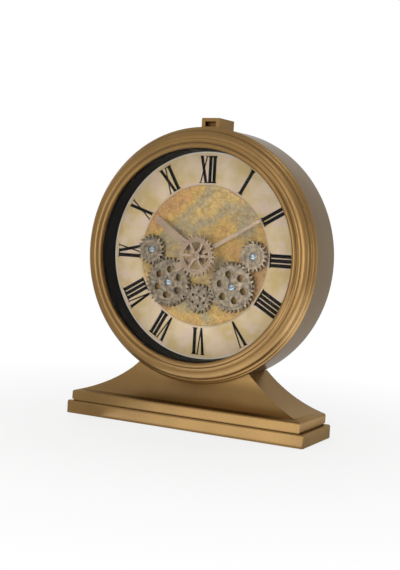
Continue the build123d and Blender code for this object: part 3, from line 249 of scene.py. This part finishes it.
def lamp(name, place, target, width, height, power, tint):
    data = bpy.data.lights.new(name, "AREA")
    data.shape = "RECTANGLE"
    data.size = width
    data.size_y = height
    data.energy = power
    data.color = tint
    made = bpy.data.objects.new(name, data)
    bpy.context.scene.collection.objects.link(made)
    made.location = place
    made.rotation_mode = "QUATERNION"
    made.rotation_quaternion = (Vector(target) - Vector(place)).to_track_quat("-Z", "Y")
    return made


def table_panel(name, x, y, z, width, depth, power):
    """A panel that lies on the table, shines upwards and isn't seen by the camera."""
    made = lamp(name, (x, y, z), (x, y, 1), width, depth, power, cool)
    made.visible_camera = False


lamp("main_lamp", (-0.25, -1.7, 0.45), (0, 0, 0.15), 0.7, 0.7, 2.4, warm)
lamp("low_lamp", (-0.12, -1.2, 0.09), (0, 0, 0.09), 0.48, 0.16, 2.0, warm)
lamp("side_lamp", (1.2, -0.35, 0.12), (0, 0, 0.12), 0.3, 0.5, 1.8, warm)
lamp("high_lamp", (0.35, -0.9, 1.4), (0, 0, 0.2), 0.4, 0.4, 2.4, warm)
lamp("back_lamp", (-1.3, 1.2, 0.4), (0, 0, 0.12), 0.8, 0.8, 4.5, warm)
table_panel("right_panel", 0.32, -0.05, 0.004, 0.3, 0.4, 0.95)
table_panel("front_panel", 0.08, -0.138, 0.002, 0.34, 0.2, 0.35)
print("lamps", [light.name for light in bpy.data.lights])

# %% [markdown]
# ## Shared effects
# Most of the clock is sprayed with metallic lacquer: a coloured base with tiny flakes, cloudy where
# the spray was thicker. Moulded plastic has a fine grain instead, and steel has streaks from
# rolling. Each effect is a node group, so each material only gives it colours and sizes.

# %% Node group for metallic lacquer
flake_scale = 2600.0
peel_scale = 900.0
flake_gold = (1, 0.82, 0.5, 1)
lacquer, take, give = open_group(
    "metallic_lacquer",
    [("Colour", colour), ("Shade", colour), ("Cloud Size", number), ("Flake", number)],
    [("Colour", colour), ("Roughness", number), ("Height", number)],
)
coords = add_node(lacquer, "ShaderNodeTexCoord").outputs["Object"]
cloud = noise(lacquer, coords, take["Cloud Size"], 4.0)
cloud_share = remap(lacquer, cloud, 0.35, 0.7, 0.0, 1.0)
flakes = add_node(lacquer, "ShaderNodeTexVoronoi", {"Vector": coords, "Scale": flake_scale})
flake_value = add_node(lacquer, "ShaderNodeSeparateColor", {0: flakes.outputs["Color"]}).outputs[0]
base_mix = blend_colours(lacquer, cloud_share, take["Shade"], take["Colour"])
sparkle = math_node(lacquer, "MULTIPLY", flake_value, take["Flake"])
lacquer.links.new(blend_colours(lacquer, sparkle, base_mix, flake_gold), give["Colour"])
lacquer.links.new(remap(lacquer, cloud, 0.3, 0.7, 0.38, 0.31), give["Roughness"])
peel = noise(lacquer, coords, peel_scale, 1.0)
flake_height = math_node(lacquer, "MULTIPLY", flake_value, 0.3)
lacquer.links.new(math_node(lacquer, "ADD", peel, flake_height), give["Height"])
print("group", lacquer.name)

# %% Node group for moulded plastic
drift_scale = 35.0
moulding, take, give = open_group(
    "moulded_grain",
    [("Colour", colour), ("Shade", colour), ("Grain", number)],
    [("Colour", colour), ("Roughness", number), ("Height", number)],
)
coords = add_node(moulding, "ShaderNodeTexCoord").outputs["Object"]
grain = noise(moulding, coords, take["Grain"], 3.0)
drift = noise(moulding, coords, drift_scale, 2.0)
drift_share = remap(moulding, drift, 0.3, 0.7, 0, 1)
drifting = blend_colours(moulding, drift_share, take["Shade"], take["Colour"])
moulding.links.new(drifting, give["Colour"])
moulding.links.new(remap(moulding, grain, 0.3, 0.7, 0.5, 0.66), give["Roughness"])
moulding.links.new(grain, give["Height"])
print("group", moulding.name)

# %% Node group for rolled metal
streak_scales = (60.0, 900.0, 900.0)
rolled, take, give = open_group(
    "rolled_streaks",
    [("Colour", colour), ("Shade", colour)],
    [("Colour", colour), ("Roughness", number), ("Height", number)],
)
coords = add_node(rolled, "ShaderNodeTexCoord").outputs["Object"]
stretched = add_node(rolled, "ShaderNodeMapping", {"Vector": coords, "Scale": streak_scales}).outputs[0]
streak = noise(rolled, stretched, 1.0, 3.0)
streak_share = remap(rolled, streak, 0.3, 0.7, 0, 1)
rolled.links.new(blend_colours(rolled, streak_share, take["Shade"], take["Colour"]), give["Colour"])
rolled.links.new(remap(rolled, streak, 0.3, 0.7, 0.2, 0.34), give["Roughness"])
rolled.links.new(streak, give["Height"])
print("group", rolled.name)

# %% [markdown]
# ## Finishes
# A finish places one of the groups in a material and gives it this clock's colours. The bump is
# slight: a lacquer's peel is a few thousandths of a millimetre deep, and shows only in how it
# breaks up a highlight.

# %% Finishes from the groups
bump_depth = 0.02 * mm
coat_roughness = 0.28


def finish(name, group, inputs, metallic=0.0, bump=0.1, coat=0.0, specular=0.5, tint=white):
    made, tree, shader = open_material(name)
    effect = tree.nodes.new("ShaderNodeGroup")
    effect.node_tree = group
    for key, value in inputs.items():
        effect.inputs[key].default_value = value
    tree.links.new(effect.outputs["Colour"], shader.inputs["Base Color"])
    tree.links.new(effect.outputs["Roughness"], shader.inputs["Roughness"])
    relief = {"Strength": bump, "Distance": bump_depth, "Height": effect.outputs["Height"]}
    surface = add_node(tree, "ShaderNodeBump", relief)
    tree.links.new(surface.outputs[0], shader.inputs["Normal"])
    shader.inputs["Metallic"].default_value = metallic
    shader.inputs["Coat Weight"].default_value = coat
    shader.inputs["Coat Roughness"].default_value = coat_roughness
    shader.inputs["Specular IOR Level"].default_value = specular
    shader.inputs["Specular Tint"].default_value = tint
    return made


def lacquer_finish(name, main, shade, cloud_size, flake, metallic, grazing=(255, 255, 255)):
    values = {"Colour": rgb(*main), "Shade": rgb(*shade), "Cloud Size": cloud_size, "Flake": flake}
    return finish(name, lacquer, values, metallic, 0.03, coat=0.3, tint=rgb(*grazing))


def plastic_finish(name, main, shade, grain=1500.0, bump=0.15, specular=0.4):
    values = {"Colour": rgb(*main), "Shade": rgb(*shade), "Grain": grain}
    return finish(name, moulding, values, 0.0, bump, specular=specular)


def metal_finish(name, main, shade):
    return finish(name, rolled, {"Colour": rgb(*main), "Shade": rgb(*shade)}, 1.0, 0.05)


antique_gold = lacquer_finish(
    "antique_gold", (129, 98, 51), (113, 84, 42), 14.0, 0.03, 0.9, grazing=(194, 178, 156)
)
# The drum band's lacquer is the gold made darker and greyer: painted shade for the band's side, which
# faces away from the lamps
shaded_drum_gold = lacquer_finish(
    "shaded_drum_gold", (106, 88, 67), (98, 81, 61), 14.0, 0.03, 0.9, grazing=(204, 192, 176)
)
pewter = lacquer_finish("pewter", (144, 127, 103), (48, 42, 33), 260.0, 0.06, 0.6)
rose_bronze = lacquer_finish("rose_bronze", (142, 120, 98), (124, 104, 85), 80.0, 0.05, 0.5)
bright_steel = metal_finish("bright_steel", (205, 212, 222), (170, 178, 190))
screw_steel = metal_finish("screw_steel", (158, 168, 174), (118, 128, 134))
brass = metal_finish("brass", (205, 168, 96), (180, 140, 70))
copper_wire = metal_finish("copper_wire", (190, 112, 70), (150, 80, 46))
magnet = metal_finish("magnet", (92, 92, 96), (70, 70, 74))
charcoal = plastic_finish("charcoal", (8, 8, 8), (6, 6, 6), specular=0.05)
black_moulding = plastic_finish("black_moulding", (34, 34, 36), (26, 26, 28))
back_panel = plastic_finish("back_panel", (40, 38, 36), (30, 29, 28), 2200.0, 0.3)
white_moulding = plastic_finish("white_moulding", (232, 228, 214), (220, 215, 198))
foot_rubber = plastic_finish("foot_rubber", (44, 44, 44), (32, 32, 32), 3000.0, 0.3)
board_green = plastic_finish("board_green", (40, 96, 62), (30, 80, 50))
print("finishes", len(bpy.data.materials))

# %% [markdown]
# ## Crown
# The crown block's small front recess is painted dark brown as painted shade, standing in for the shadow
# inside it. A box mask from the place in space picks out
# its walls: within the recess's width and height, and behind the block's front face.

# %% Crown gold
recess_reach = 3.4 * mm
recess_drop = 6 * mm
recess_shade_strength = 0.92
recess_shade_brown = rgb(84, 55, 20)
crown_low, crown_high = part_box("crown_block")
recess_centre = Vector((0, crown_low.y + recess_reach, crown_high.z - recess_drop))
recess_half = (6 * mm, 3 * mm, 2.6 * mm)
crown_gold = antique_gold.copy()
crown_gold.name = "crown_gold"
tree = crown_gold.node_tree
shader = tree.nodes["Principled BSDF"]
coords = add_node(tree, "ShaderNodeTexCoord").outputs["Object"]
offset = add_node(tree, "ShaderNodeVectorMath", {0: coords, 1: recess_centre}, operation="SUBTRACT")
apart = add_node(tree, "ShaderNodeVectorMath", {0: offset.outputs[0]}, operation="ABSOLUTE")
sides = add_node(tree, "ShaderNodeSeparateXYZ", {0: apart.outputs[0]}).outputs
# Painted shade: within the box the gold is blended towards dark brown, standing in for the recess's shadow
recess_shade = recess_shade_strength
for side, half in zip(sides, recess_half):
    recess_shade = math_node(tree, "MULTIPLY", math_node(tree, "LESS_THAN", side, half), recess_shade)
plain = shader.inputs["Base Color"].links[0].from_socket
tree.links.new(blend_colours(tree, recess_shade, plain, recess_shade_brown), shader.inputs["Base Color"])
print("finish", crown_gold.name)

# %% [markdown]
# ## Dry cells
# A dry cell has a plain printed sleeve with a metal-coloured band at its plus end. The band is
# found from the distance along the cell, and the upper cell of the gear motor's pair lies the other
# way round.

# %% Cell sleeve
band_start = 10 * mm
end_start = 24.1 * mm
box_low, box_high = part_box("battery_box")
between_cells = (box_low.z + box_high.z) / 2
cell_sleeve, tree, shader = open_material("cell_sleeve")
coords = add_node(tree, "ShaderNodeTexCoord").outputs["Object"]
along = add_node(tree, "ShaderNodeSeparateXYZ", {0: coords})
upper = math_node(tree, "GREATER_THAN", along.outputs[2], between_cells)
way = remap(tree, upper, 0, 1, 1, -1)
to_plus = math_node(tree, "MULTIPLY", along.outputs[0], way)
band = math_node(tree, "GREATER_THAN", to_plus, band_start)
end = math_node(tree, "GREATER_THAN", math_node(tree, "ABSOLUTE", along.outputs[0]), end_start)
worn = remap(tree, noise(tree, coords, 120.0, 3.0), 0.3, 0.7, 0, 1)
dark = blend_colours(tree, worn, rgb(34, 44, 40), rgb(44, 58, 52))
sleeve_colour = blend_colours(tree, band, dark, rgb(196, 150, 84))
sleeve_colour = blend_colours(tree, end, sleeve_colour, rgb(205, 208, 212))
tree.links.new(sleeve_colour, shader.inputs["Base Color"])
tree.links.new(math_node(tree, "MAXIMUM", band, end), shader.inputs["Metallic"])
tree.links.new(remap(tree, worn, 0, 1, 0.24, 0.32), shader.inputs["Roughness"])
print("finish", cell_sleeve.name)

# %% [markdown]
# ## Glass
# The glass is flat and clear. Light has to reach the dial through it, so shadow rays pass straight
# through, while the camera sees a thin, faintly reflecting sheet.

# %% Crystal
crystal, tree, shader = open_material("crystal")
shader.inputs["Base Color"].default_value = white
shader.inputs["Transmission Weight"].default_value = 1.0
shader.inputs["IOR"].default_value = 1.12
coords = add_node(tree, "ShaderNodeTexCoord").outputs["Object"]
tree.links.new(remap(tree, noise(tree, coords, 30.0), 0.3, 0.7, 0.0, 0.02), shader.inputs["Roughness"])
clear = tree.nodes.new("ShaderNodeBsdfTransparent")
path = tree.nodes.new("ShaderNodeLightPath")
shadow = path.outputs["Is Shadow Ray"]
see_through = add_node(tree, "ShaderNodeMixShader", {0: shadow, 1: shader.outputs[0], 2: clear.outputs[0]})
tree.links.new(see_through.outputs[0], tree.nodes["Material Output"].inputs["Surface"])
print("finish", crystal.name)

# %% [markdown]
# ## Dial paper
# The dial is a printed sheet that looks aged: tan paper with yellow and pinkish clouds, a pale line
# at its rim, two thin brown circles inside the numerals, and a printed middle in warm washes with
# fine engine-turned lines. Everything is worked out from the distance and the angle round the
# dial's centre.

# %% Dial paper
dial_low, dial_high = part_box("dial_plate")
dial_z = (dial_low.z + dial_high.z) / 2
patch_shift = (0.7, 0.3, 0)
dial_paper, tree, shader = open_material("dial_paper")
coords = add_node(tree, "ShaderNodeTexCoord").outputs["Object"]
centred = add_node(tree, "ShaderNodeMapping", {"Vector": coords, "Location": (0, 0, -dial_z)}).outputs[0]
across = add_node(tree, "ShaderNodeSeparateXYZ", {0: centred})
flat = add_node(tree, "ShaderNodeCombineXYZ", {0: across.outputs[0], 1: across.outputs[2]}).outputs[0]
radius = add_node(tree, "ShaderNodeVectorMath", {0: flat}, operation="LENGTH").outputs["Value"]
angle = math_node(tree, "ARCTAN2", across.outputs[2], across.outputs[0])
clouds = noise(tree, flat, 36.0, 4.0)
second = add_node(tree, "ShaderNodeMapping", {"Vector": flat, "Location": patch_shift}).outputs[0]
patches = noise(tree, second, 48.0, 3.0)
fibres = noise(tree, flat, 700.0, 4.0)
paper = blend_colours(tree, remap(tree, clouds, 0.4, 0.62, 0, 1), rgb(208, 188, 158), rgb(188, 164, 110))
paper = blend_colours(tree, remap(tree, patches, 0.52, 0.64, 0, 0.8), paper, rgb(204, 180, 164))
print("paper clouds ready, centre height", round(dial_z, 4))

# %% Dial middle
middle_radius = 69.4 * mm
ray_count = 18.0
ripple_rate = 260.0
crackle_bend = (0.02, 0.02, 0.02)
washes = add_node(tree, "ShaderNodeValToRGB", {0: noise(tree, second, 15.0, 6.0)})
steps = [
    (0.26, (222, 200, 152)),
    (0.38, (202, 168, 98)),
    (0.45, (160, 150, 120)),
    (0.52, (200, 164, 86)),
    (0.60, (194, 146, 86)),
    (0.68, (176, 134, 88)),
    (0.78, (220, 196, 148)),
]
while len(washes.color_ramp.elements) < len(steps):
    washes.color_ramp.elements.new(0.5)
for element, (place, tone) in zip(washes.color_ramp.elements, steps):
    element.position = place
    element.color = rgb(*tone)
rays = math_node(tree, "MULTIPLY", angle, ray_count)
ripple = math_node(tree, "SINE", math_node(tree, "MULTIPLY", radius, ripple_rate))
rosette = math_node(tree, "SINE", math_node(tree, "ADD", rays, math_node(tree, "MULTIPLY", ripple, 2.4)))
hairline = remap(tree, math_node(tree, "ABSOLUTE", rosette), 0.0, 0.2, 0.5, 0.0)
blot = remap(tree, noise(tree, flat, 160.0, 6.0), 0.5, 0.72, 0.0, 0.6)
waver = add_node(tree, "ShaderNodeTexNoise", {"Vector": flat, "Scale": 120.0, "Detail": 3.0})
bending = {0: waver.outputs["Color"], 1: crackle_bend, 2: flat}
bent = add_node(tree, "ShaderNodeVectorMath", bending, operation="MULTIPLY_ADD").outputs[0]
cracks = add_node(
    tree, "ShaderNodeTexVoronoi", {"Vector": bent, "Scale": 150.0}, feature="DISTANCE_TO_EDGE"
)
crackle = remap(tree, cracks.outputs[0], 0.0, 0.1, 0.55, 0.0)
middle = blend_colours(tree, hairline, washes.outputs[0], rgb(112, 84, 48))
middle = blend_colours(tree, crackle, middle, rgb(104, 80, 46))
middle = blend_colours(tree, blot, middle, rgb(124, 96, 58))
in_middle = math_node(tree, "LESS_THAN", radius, middle_radius)
printed = blend_colours(tree, in_middle, paper, middle)
print("middle washes", len(washes.color_ramp.elements))

# %% Dial lines
line_gap = 1.2 * mm
line_brown = rgb(112, 82, 52)
rim_line_radius = 101.6 * mm
rim_line_width = 1.0 * mm
weave_depth = 0.03 * mm


def ring_mask(line_radius, width):
    gap = math_node(tree, "ABSOLUTE", math_node(tree, "SUBTRACT", radius, line_radius))
    return remap(tree, gap, width * 0.5, width * 0.8, 1.0, 0.0)


brown_lines = [(middle_radius, 0.5 * mm, 0.75), (middle_radius + line_gap, 0.3 * mm, 0.6)]
for line_radius, width, strength in brown_lines:
    line = math_node(tree, "MULTIPLY", ring_mask(line_radius, width), strength)
    printed = blend_colours(tree, line, printed, line_brown)
rim_line = ring_mask(rim_line_radius, rim_line_width)
printed = blend_colours(tree, rim_line, printed, rgb(206, 200, 188))
specks = remap(tree, fibres, 0.3, 0.75, 0.0, 0.22)
printed = blend_colours(tree, specks, printed, rgb(150, 124, 88))
tree.links.new(printed, shader.inputs["Base Color"])
tree.links.new(remap(tree, fibres, 0.3, 0.7, 0.62, 0.8), shader.inputs["Roughness"])
weave = add_node(tree, "ShaderNodeBump", {"Strength": 0.12, "Distance": weave_depth, "Height": fibres})
tree.links.new(weave.outputs[0], shader.inputs["Normal"])
print("finish", dial_paper.name)

# %% Ink for the numerals
ink, tree, shader = open_material("numeral_ink")
coords = add_node(tree, "ShaderNodeTexCoord").outputs["Object"]
worn = noise(tree, coords, 500.0, 4.0)
worn_share = remap(tree, worn, 0.35, 0.75, 0, 1)
ink_black = blend_colours(tree, worn_share, rgb(9, 9, 9), rgb(16, 15, 14))
tree.links.new(ink_black, shader.inputs["Base Color"])
tree.links.new(remap(tree, worn, 0.3, 0.7, 0.6, 0.8), shader.inputs["Roughness"])
shader.inputs["Specular IOR Level"].default_value = 0.1
print("finish", ink.name)

# %% [markdown]
# ## Turning a mesh into a piece
# Each new mesh is wrapped in an object at the origin, shaded smooth except at real corners, and
# tied to the body that carries it. A copy of a solid's mesh is merged first, because its triangles
# come loose; then its corners can be rounded, and round walls shade as round. The copy's stored
# normals no longer fit it, so they are dropped, and normals weighted by area keep its flat faces
# flat.

# %% Piece helpers
merge_gap = 0.001 * mm
flat_limit = math.radians(0.5)
corner_angle = 35


def make_piece(name, mesh, body, finish_used, stands_for=(), corner=corner_angle):
    data = bpy.data.meshes.new(name)
    mesh.to_mesh(data)
    mesh.free()
    if data.has_custom_normals:
        data.attributes.remove(data.attributes["custom_normal"])
    data.shade_smooth()
    data.set_sharp_from_angle(angle=math.radians(corner))
    data.materials.append(finish_used)
    made = bpy.data.objects.new(name, data)
    bpy.context.scene.collection.objects.link(made)
    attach(made, body)
    if stands_for:
        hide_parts(*stands_for)
    return made


def merged_copy(node):
    mesh = bmesh.new()
    mesh.from_mesh(nodes[node].data)
    bmesh.ops.remove_doubles(mesh, verts=mesh.verts, dist=merge_gap)
    return mesh


def dressed(node, finish_used, edge=0.0, segments=2, curved=False):
    mesh = merged_copy(node)
    if edge:
        bmesh.ops.dissolve_limit(mesh, angle_limit=flat_limit, verts=mesh.verts, edges=mesh.edges)
    made = make_piece(node + "_skin", mesh, body_of_node[node], finish_used, [node])
    if edge:
        rounding = made.modifiers.new("rounded_edges", "BEVEL")
        rounding.width = edge
        rounding.segments = segments
        rounding.limit_method = "ANGLE"
        rounding.angle_limit = math.radians(corner_angle)
        rounding.use_clamp_overlap = True
        rounding.harden_normals = curved
    if not curved:
        shading = made.modifiers.new("flat_faces", "WEIGHTED_NORMAL")
        shading.keep_sharp = True
    return made


print("piece helpers ready")

# %% [markdown]
# ## Front ring
# The ring round the glass is a lathe form: two small beads, a groove, a broad roll, a hollow and a
# lip. Its outline is drawn once, as short arcs between corner points, and spun round the dial's
# axis.

# %% Outline of the front ring
ring_radius = 125 * mm
ring_rear = -12.5 * mm
ring_width = 21 * mm
ring_rise = 14.6 * mm
ring_opening = ring_radius - ring_width
glass_seat_radius = 107.6 * mm
land_radius = 113 * mm
skirt_inside = 121.2 * mm
skirt_outside = 122.9 * mm
glass_front = -22.5 * mm
land_depth = -19.7 * mm
back_depth = -17.1 * mm
skirt_end = -6.5 * mm
arc_steps = 8


def arc_points(first, through, last, steps):
    """Points along the circle through three points."""
    a, b, c = (Vector(point) for point in (first, through, last))
    ab, ac = b - a, c - a
    cross = 2 * (ab.x * ac.y - ab.y * ac.x)
    middle = a + Vector((
        (ac.y * ab.length_squared - ab.y * ac.length_squared) / cross,
        (ab.x * ac.length_squared - ac.x * ab.length_squared) / cross,
    ))
    start, end = a - middle, c - middle
    sweep = math.atan2(start.x * end.y - start.y * end.x, start.dot(end))
    return [middle + Matrix.Rotation(sweep * index / steps, 2) @ start for index in range(steps + 1)]


ring_arcs = [
    ((0, 0.048), (0.014, 0.144), (0.062, 0.185)),
    ((0.076, 0.199), (0.1, 0.37), (0.171, 0.432)),
    ((0.181, 0.418), (0.195, 0.42), (0.21, 0.438)),
    ((0.229, 0.486), (0.362, 0.788), (0.552, 0.815)),
    ((0.56, 0.801), (0.667, 0.781), (0.771, 0.87)),
    ((0.778, 0.897), (0.886, 1), (1, 0.897)),
]
outline = [Vector((0.0, 0.0))]
for arc in ring_arcs:
    outline += arc_points(*arc, arc_steps)
outline = [(ring_radius - share.x * ring_width, ring_rear - share.y * ring_rise) for share in outline]
outline += [
    (ring_opening, glass_front), (glass_seat_radius, glass_front), (glass_seat_radius, land_depth),
    (land_radius, land_depth), (land_radius, back_depth), (skirt_inside, back_depth),
    (skirt_inside, skirt_end), (skirt_outside, skirt_end), (skirt_outside, ring_rear),
]
print("outline points", len(outline))

# %% Front ring


def lathe(points, steps=192):
    """Closed ring of revolution about the dial's axis, from (radius, depth) points."""
    mesh = bmesh.new()
    loop = [mesh.verts.new((radius_at, depth, dial_z)) for radius_at, depth in points]
    edges = [mesh.edges.new((loop[index], loop[(index + 1) % len(loop)])) for index in range(len(loop))]
    bmesh.ops.spin(
        mesh, geom=loop + edges, cent=(0, 0, dial_z), axis=(0, 1, 0),
        angle=math.tau, steps=steps, use_merge=True,
    )
    bmesh.ops.remove_doubles(mesh, verts=mesh.verts, dist=merge_gap)
    bmesh.ops.recalc_face_normals(mesh, faces=mesh.faces)
    return mesh


front_ring = make_piece("front_ring", lathe(outline), "case", antique_gold, ["bezel"], 24)
print("front ring", len(front_ring.data.polygons), "faces")

# %% [markdown]
# ## Drum
# The drum is a rolled band with a soft rear corner and an inner ledge for the back cover. It is
# spun in the same way as the ring.

# %% Drum
drum_bore = 123 * mm
drum_rear = 30 * mm
edge_radius = 1.2 * mm
edge_cut = 0.35 * mm
edge_steps = 6
ledge_radius = 113 * mm
ledge_rear = 28 * mm
ledge_front = 26 * mm
rear_edge = arc_points(
    (ring_radius, drum_rear - edge_radius),
    (ring_radius - edge_cut, drum_rear - edge_cut),
    (ring_radius - edge_radius, drum_rear),
    edge_steps,
)
drum_outline = [(ring_radius, ring_rear)]
drum_outline += [tuple(point) for point in rear_edge]
drum_outline += [
    (drum_bore, drum_rear), (drum_bore, ledge_rear), (ledge_radius, ledge_rear),
    (ledge_radius, ledge_front), (drum_bore, ledge_front), (drum_bore, ring_rear),
]
# The drum band takes the darker, greyer gold, whose darkness is painted shade
drum = make_piece("drum_band", lathe(drum_outline), "case", shaded_drum_gold, ["drum_shell"], 30)
print("drum", len(drum.data.polygons), "faces")

# %% [markdown]
# ## Base, pedestal and crown
# The moulded base pieces keep their solids' shapes. Their merged copies get slightly rounded
# corners, because a lacquered moulding catches a thin bright line along every edge.

# %% Base, pedestal and crown
dressed("base_plinth", antique_gold, 0.6 * mm, 3)
dressed("pedestal", antique_gold, 0.25 * mm, 2, curved=True)
dressed("crown_block", crown_gold, 0.5 * mm, 3)
dressed("base_cover", back_panel)
dressed("rubber_feet", foot_rubber, 0.5 * mm)
dressed("base_cover_screws", bright_steel, 0.25 * mm)
print("base pieces dressed")

# %% [markdown]
# ## Dial, sleeve and glass
# The paper's pattern is in its material, so the dial itself is only a merged copy. The black sleeve
# hides the edge of the paper, and the glass closes the front.

# %% Dial, sleeve and glass
dressed("dial_plate", dial_paper)
dressed("dial_sleeve", charcoal)
dressed("lens", crystal)
print("dial, sleeve and glass dressed")

# %% [markdown]
# ## Numerals
# Roman numerals stand round the dial with their tops outwards. Each letter is made of tapered
# strokes: a stroke is a cube whose lower and upper ends are moved to two spans. Thick and thin
# strokes and flared ends give the serif letters of such dials.

# %% Letters
# Widths and heights in millimetres, across from the letter's middle and up from its foot
letter_height = 26.8
stem = 1.8
slab = 0.7
flare = 2.0
wide = 2.7
thick_arm = (1.2, 4.4)
thin_arm = (2.3, 3.7)
thick_serif = (0.4, 5.2)
thin_serif = (1.2, 4.8)
thick_foot = (-1.1, 1.1)
thin_foot = (-0.5, 0.9)
five_shift = 0.2
narrow_pitch = 4.6
broad_pitch = 9.4


def span(x, edges, side=1):
    """A span between two distances from x, to the right or, with side -1, to the left."""
    return tuple(sorted(x + side * edge for edge in edges))


def upright_strokes(x):
    top = letter_height
    return [
        ((x - wide, x + wide, 0), (x - wide, x + wide, slab)),
        ((x - wide, x + wide, slab), (x - stem, x + stem, flare)),
        ((x - stem, x + stem, flare), (x - stem, x + stem, top - flare)),
        ((x - stem, x + stem, top - flare), (x - wide, x + wide, top - slab)),
        ((x - wide, x + wide, top - slab), (x - wide, x + wide, top)),
    ]


def five_strokes(x):
    top = letter_height
    return [
        ((*span(x, thick_foot), 0), (*span(x, thick_arm, -1), top - slab)),
        ((*span(x, thin_foot), 0), (*span(x + five_shift, thin_arm), top - slab)),
        ((*span(x, thick_serif, -1), top - slab), (*span(x, thick_serif, -1), top)),
        ((*span(x + five_shift, thin_serif), top - slab), (*span(x + five_shift, thin_serif), top)),
    ]


def ten_strokes(x):
    top = letter_height
    return [
        ((*span(x, thick_arm), slab), (*span(x, thick_arm, -1), top - slab)),
        ((*span(x, thin_arm, -1), slab), (*span(x, thin_arm), top - slab)),
        ((*span(x, thick_serif, -1), top - slab), (*span(x, thick_serif, -1), top)),
        ((*span(x, thin_serif), top - slab), (*span(x, thin_serif), top)),
        ((*span(x, thin_serif, -1), 0), (*span(x, thin_serif, -1), slab)),
        ((*span(x, thick_serif), 0), (*span(x, thick_serif), slab)),
    ]


letters = {
    "I": (narrow_pitch, upright_strokes),
    "V": (broad_pitch, five_strokes),
    "X": (broad_pitch, ten_strokes),
}
print("letters", list(letters))

# %% Numerals
ink_depth = 0.05 * mm
letter_foot = 71.4 * mm
dial_front = dial_low.y
hours = ["XII", "I", "II", "III", "IIII", "V", "VI", "VII", "VIII", "IX", "X", "XI"]


def ink_stroke(mesh, lower, upper, outwards, sideways):
    corners = bmesh.ops.create_cube(mesh, size=1)["verts"]
    for corner in corners:
        left_edge, right_edge, rise = upper if corner.co.z > 0 else lower
        across_by = right_edge if corner.co.x > 0 else left_edge
        depth = dial_front - ink_depth if corner.co.y < 0 else dial_front
        flat_place = outwards * (letter_foot + rise * mm) + sideways * (across_by * mm)
        corner.co = (flat_place.x, depth, dial_z + flat_place.y)


numerals = bmesh.new()
for index, hour in enumerate(hours):
    clockwise = math.tau * index / len(hours)
    outwards = Vector((math.sin(clockwise), math.cos(clockwise)))
    sideways = Vector((math.cos(clockwise), -math.sin(clockwise)))
    widths = [letters[letter][0] for letter in hour]
    left = -sum(widths) / 2
    for letter, width in zip(hour, widths):
        for lower, upper in letters[letter][1](left + width / 2):
            ink_stroke(numerals, lower, upper, outwards, sideways)
        left += width
bmesh.ops.recalc_face_normals(numerals, faces=numerals.faces)
hour_marks = make_piece("hour_numerals", numerals, "case", ink)
print("numeral strokes", len(hour_marks.data.polygons) // 6)

# %% [markdown]
# ## Gears, screws and hands
# The gears are castings, so their merged copies get small rounded corners that catch the light. The
# screws on them are a greyer steel than the posts, and the hands and the gear in front of them are
# a paler, rosier lacquer.

# %% Gears and hands
gears = ["left_large_gear", "right_large_gear", "left_small_gear", "right_small_gear", "drive_gear"]
for node in (*gears, "output_shaft"):
    dressed(node, pewter, 0.18 * mm)
for node in ("hour_hand", "minute_hand", "centre_gear", "centre_cap"):
    dressed(node, rose_bronze, 0.15 * mm)
dressed("gear_screws", screw_steel)
dressed("gear_posts", bright_steel)
dressed("movement_nut", brass)
print("gears and hands dressed")

# %% [markdown]
# ## Back of the clock
# A black panel closes the drum. Through its windows show the movement with its cell and setting
# knob, and the gear motor's cells and switch.

# %% Back of the clock
dressed("back_cover", back_panel, 0.3 * mm)
for node in ("movement_base", "movement_cover", "setting_knob", "battery_box", "switch_body"):
    dressed(node, black_moulding, 0.2 * mm)
for node in ("movement_cell", "gear_cells"):
    dressed(node, cell_sleeve, 0.3 * mm)
dressed("switch_slider", white_moulding, 0.3 * mm)
dressed("back_cover_screws", bright_steel, 0.3 * mm)
dressed("cell_contacts", bright_steel)
print("back pieces dressed")

# %% [markdown]
# ## Inner works
# The pieces inside the movement and the gearbox keep their solids' own meshes. They are seldom
# seen, but each still gets the finish that it has on a real clock.

# %% Inner works
inner = {
    bright_steel: [
        "pedestal_screws", "saddle_bolts", "crown_screw", "bezel_screws", "dial_screws",
        "gearbox_screws", "motor_can", "motor_pinion", "stator",
    ],
    brass: ["minute_arbor", "seconds_arbor"],
    white_moulding: [
        "intermediate_wheel", "third_wheel", "centre_wheel", "minute_wheel", "hour_tube", "reduction_gear",
    ],
    black_moulding: ["gearbox_base", "gearbox_cover"],
    foot_rubber: ["lens_gasket", "movement_gasket"],
    copper_wire: ["drive_coil"],
    board_green: ["circuit_board"],
    magnet: ["step_rotor"],
}
for finish_used, names in inner.items():
    for name in names:
        nodes[name].data.materials.clear()
        nodes[name].data.materials.append(finish_used)
print("inner pieces", sum(len(names) for names in inner.values()))
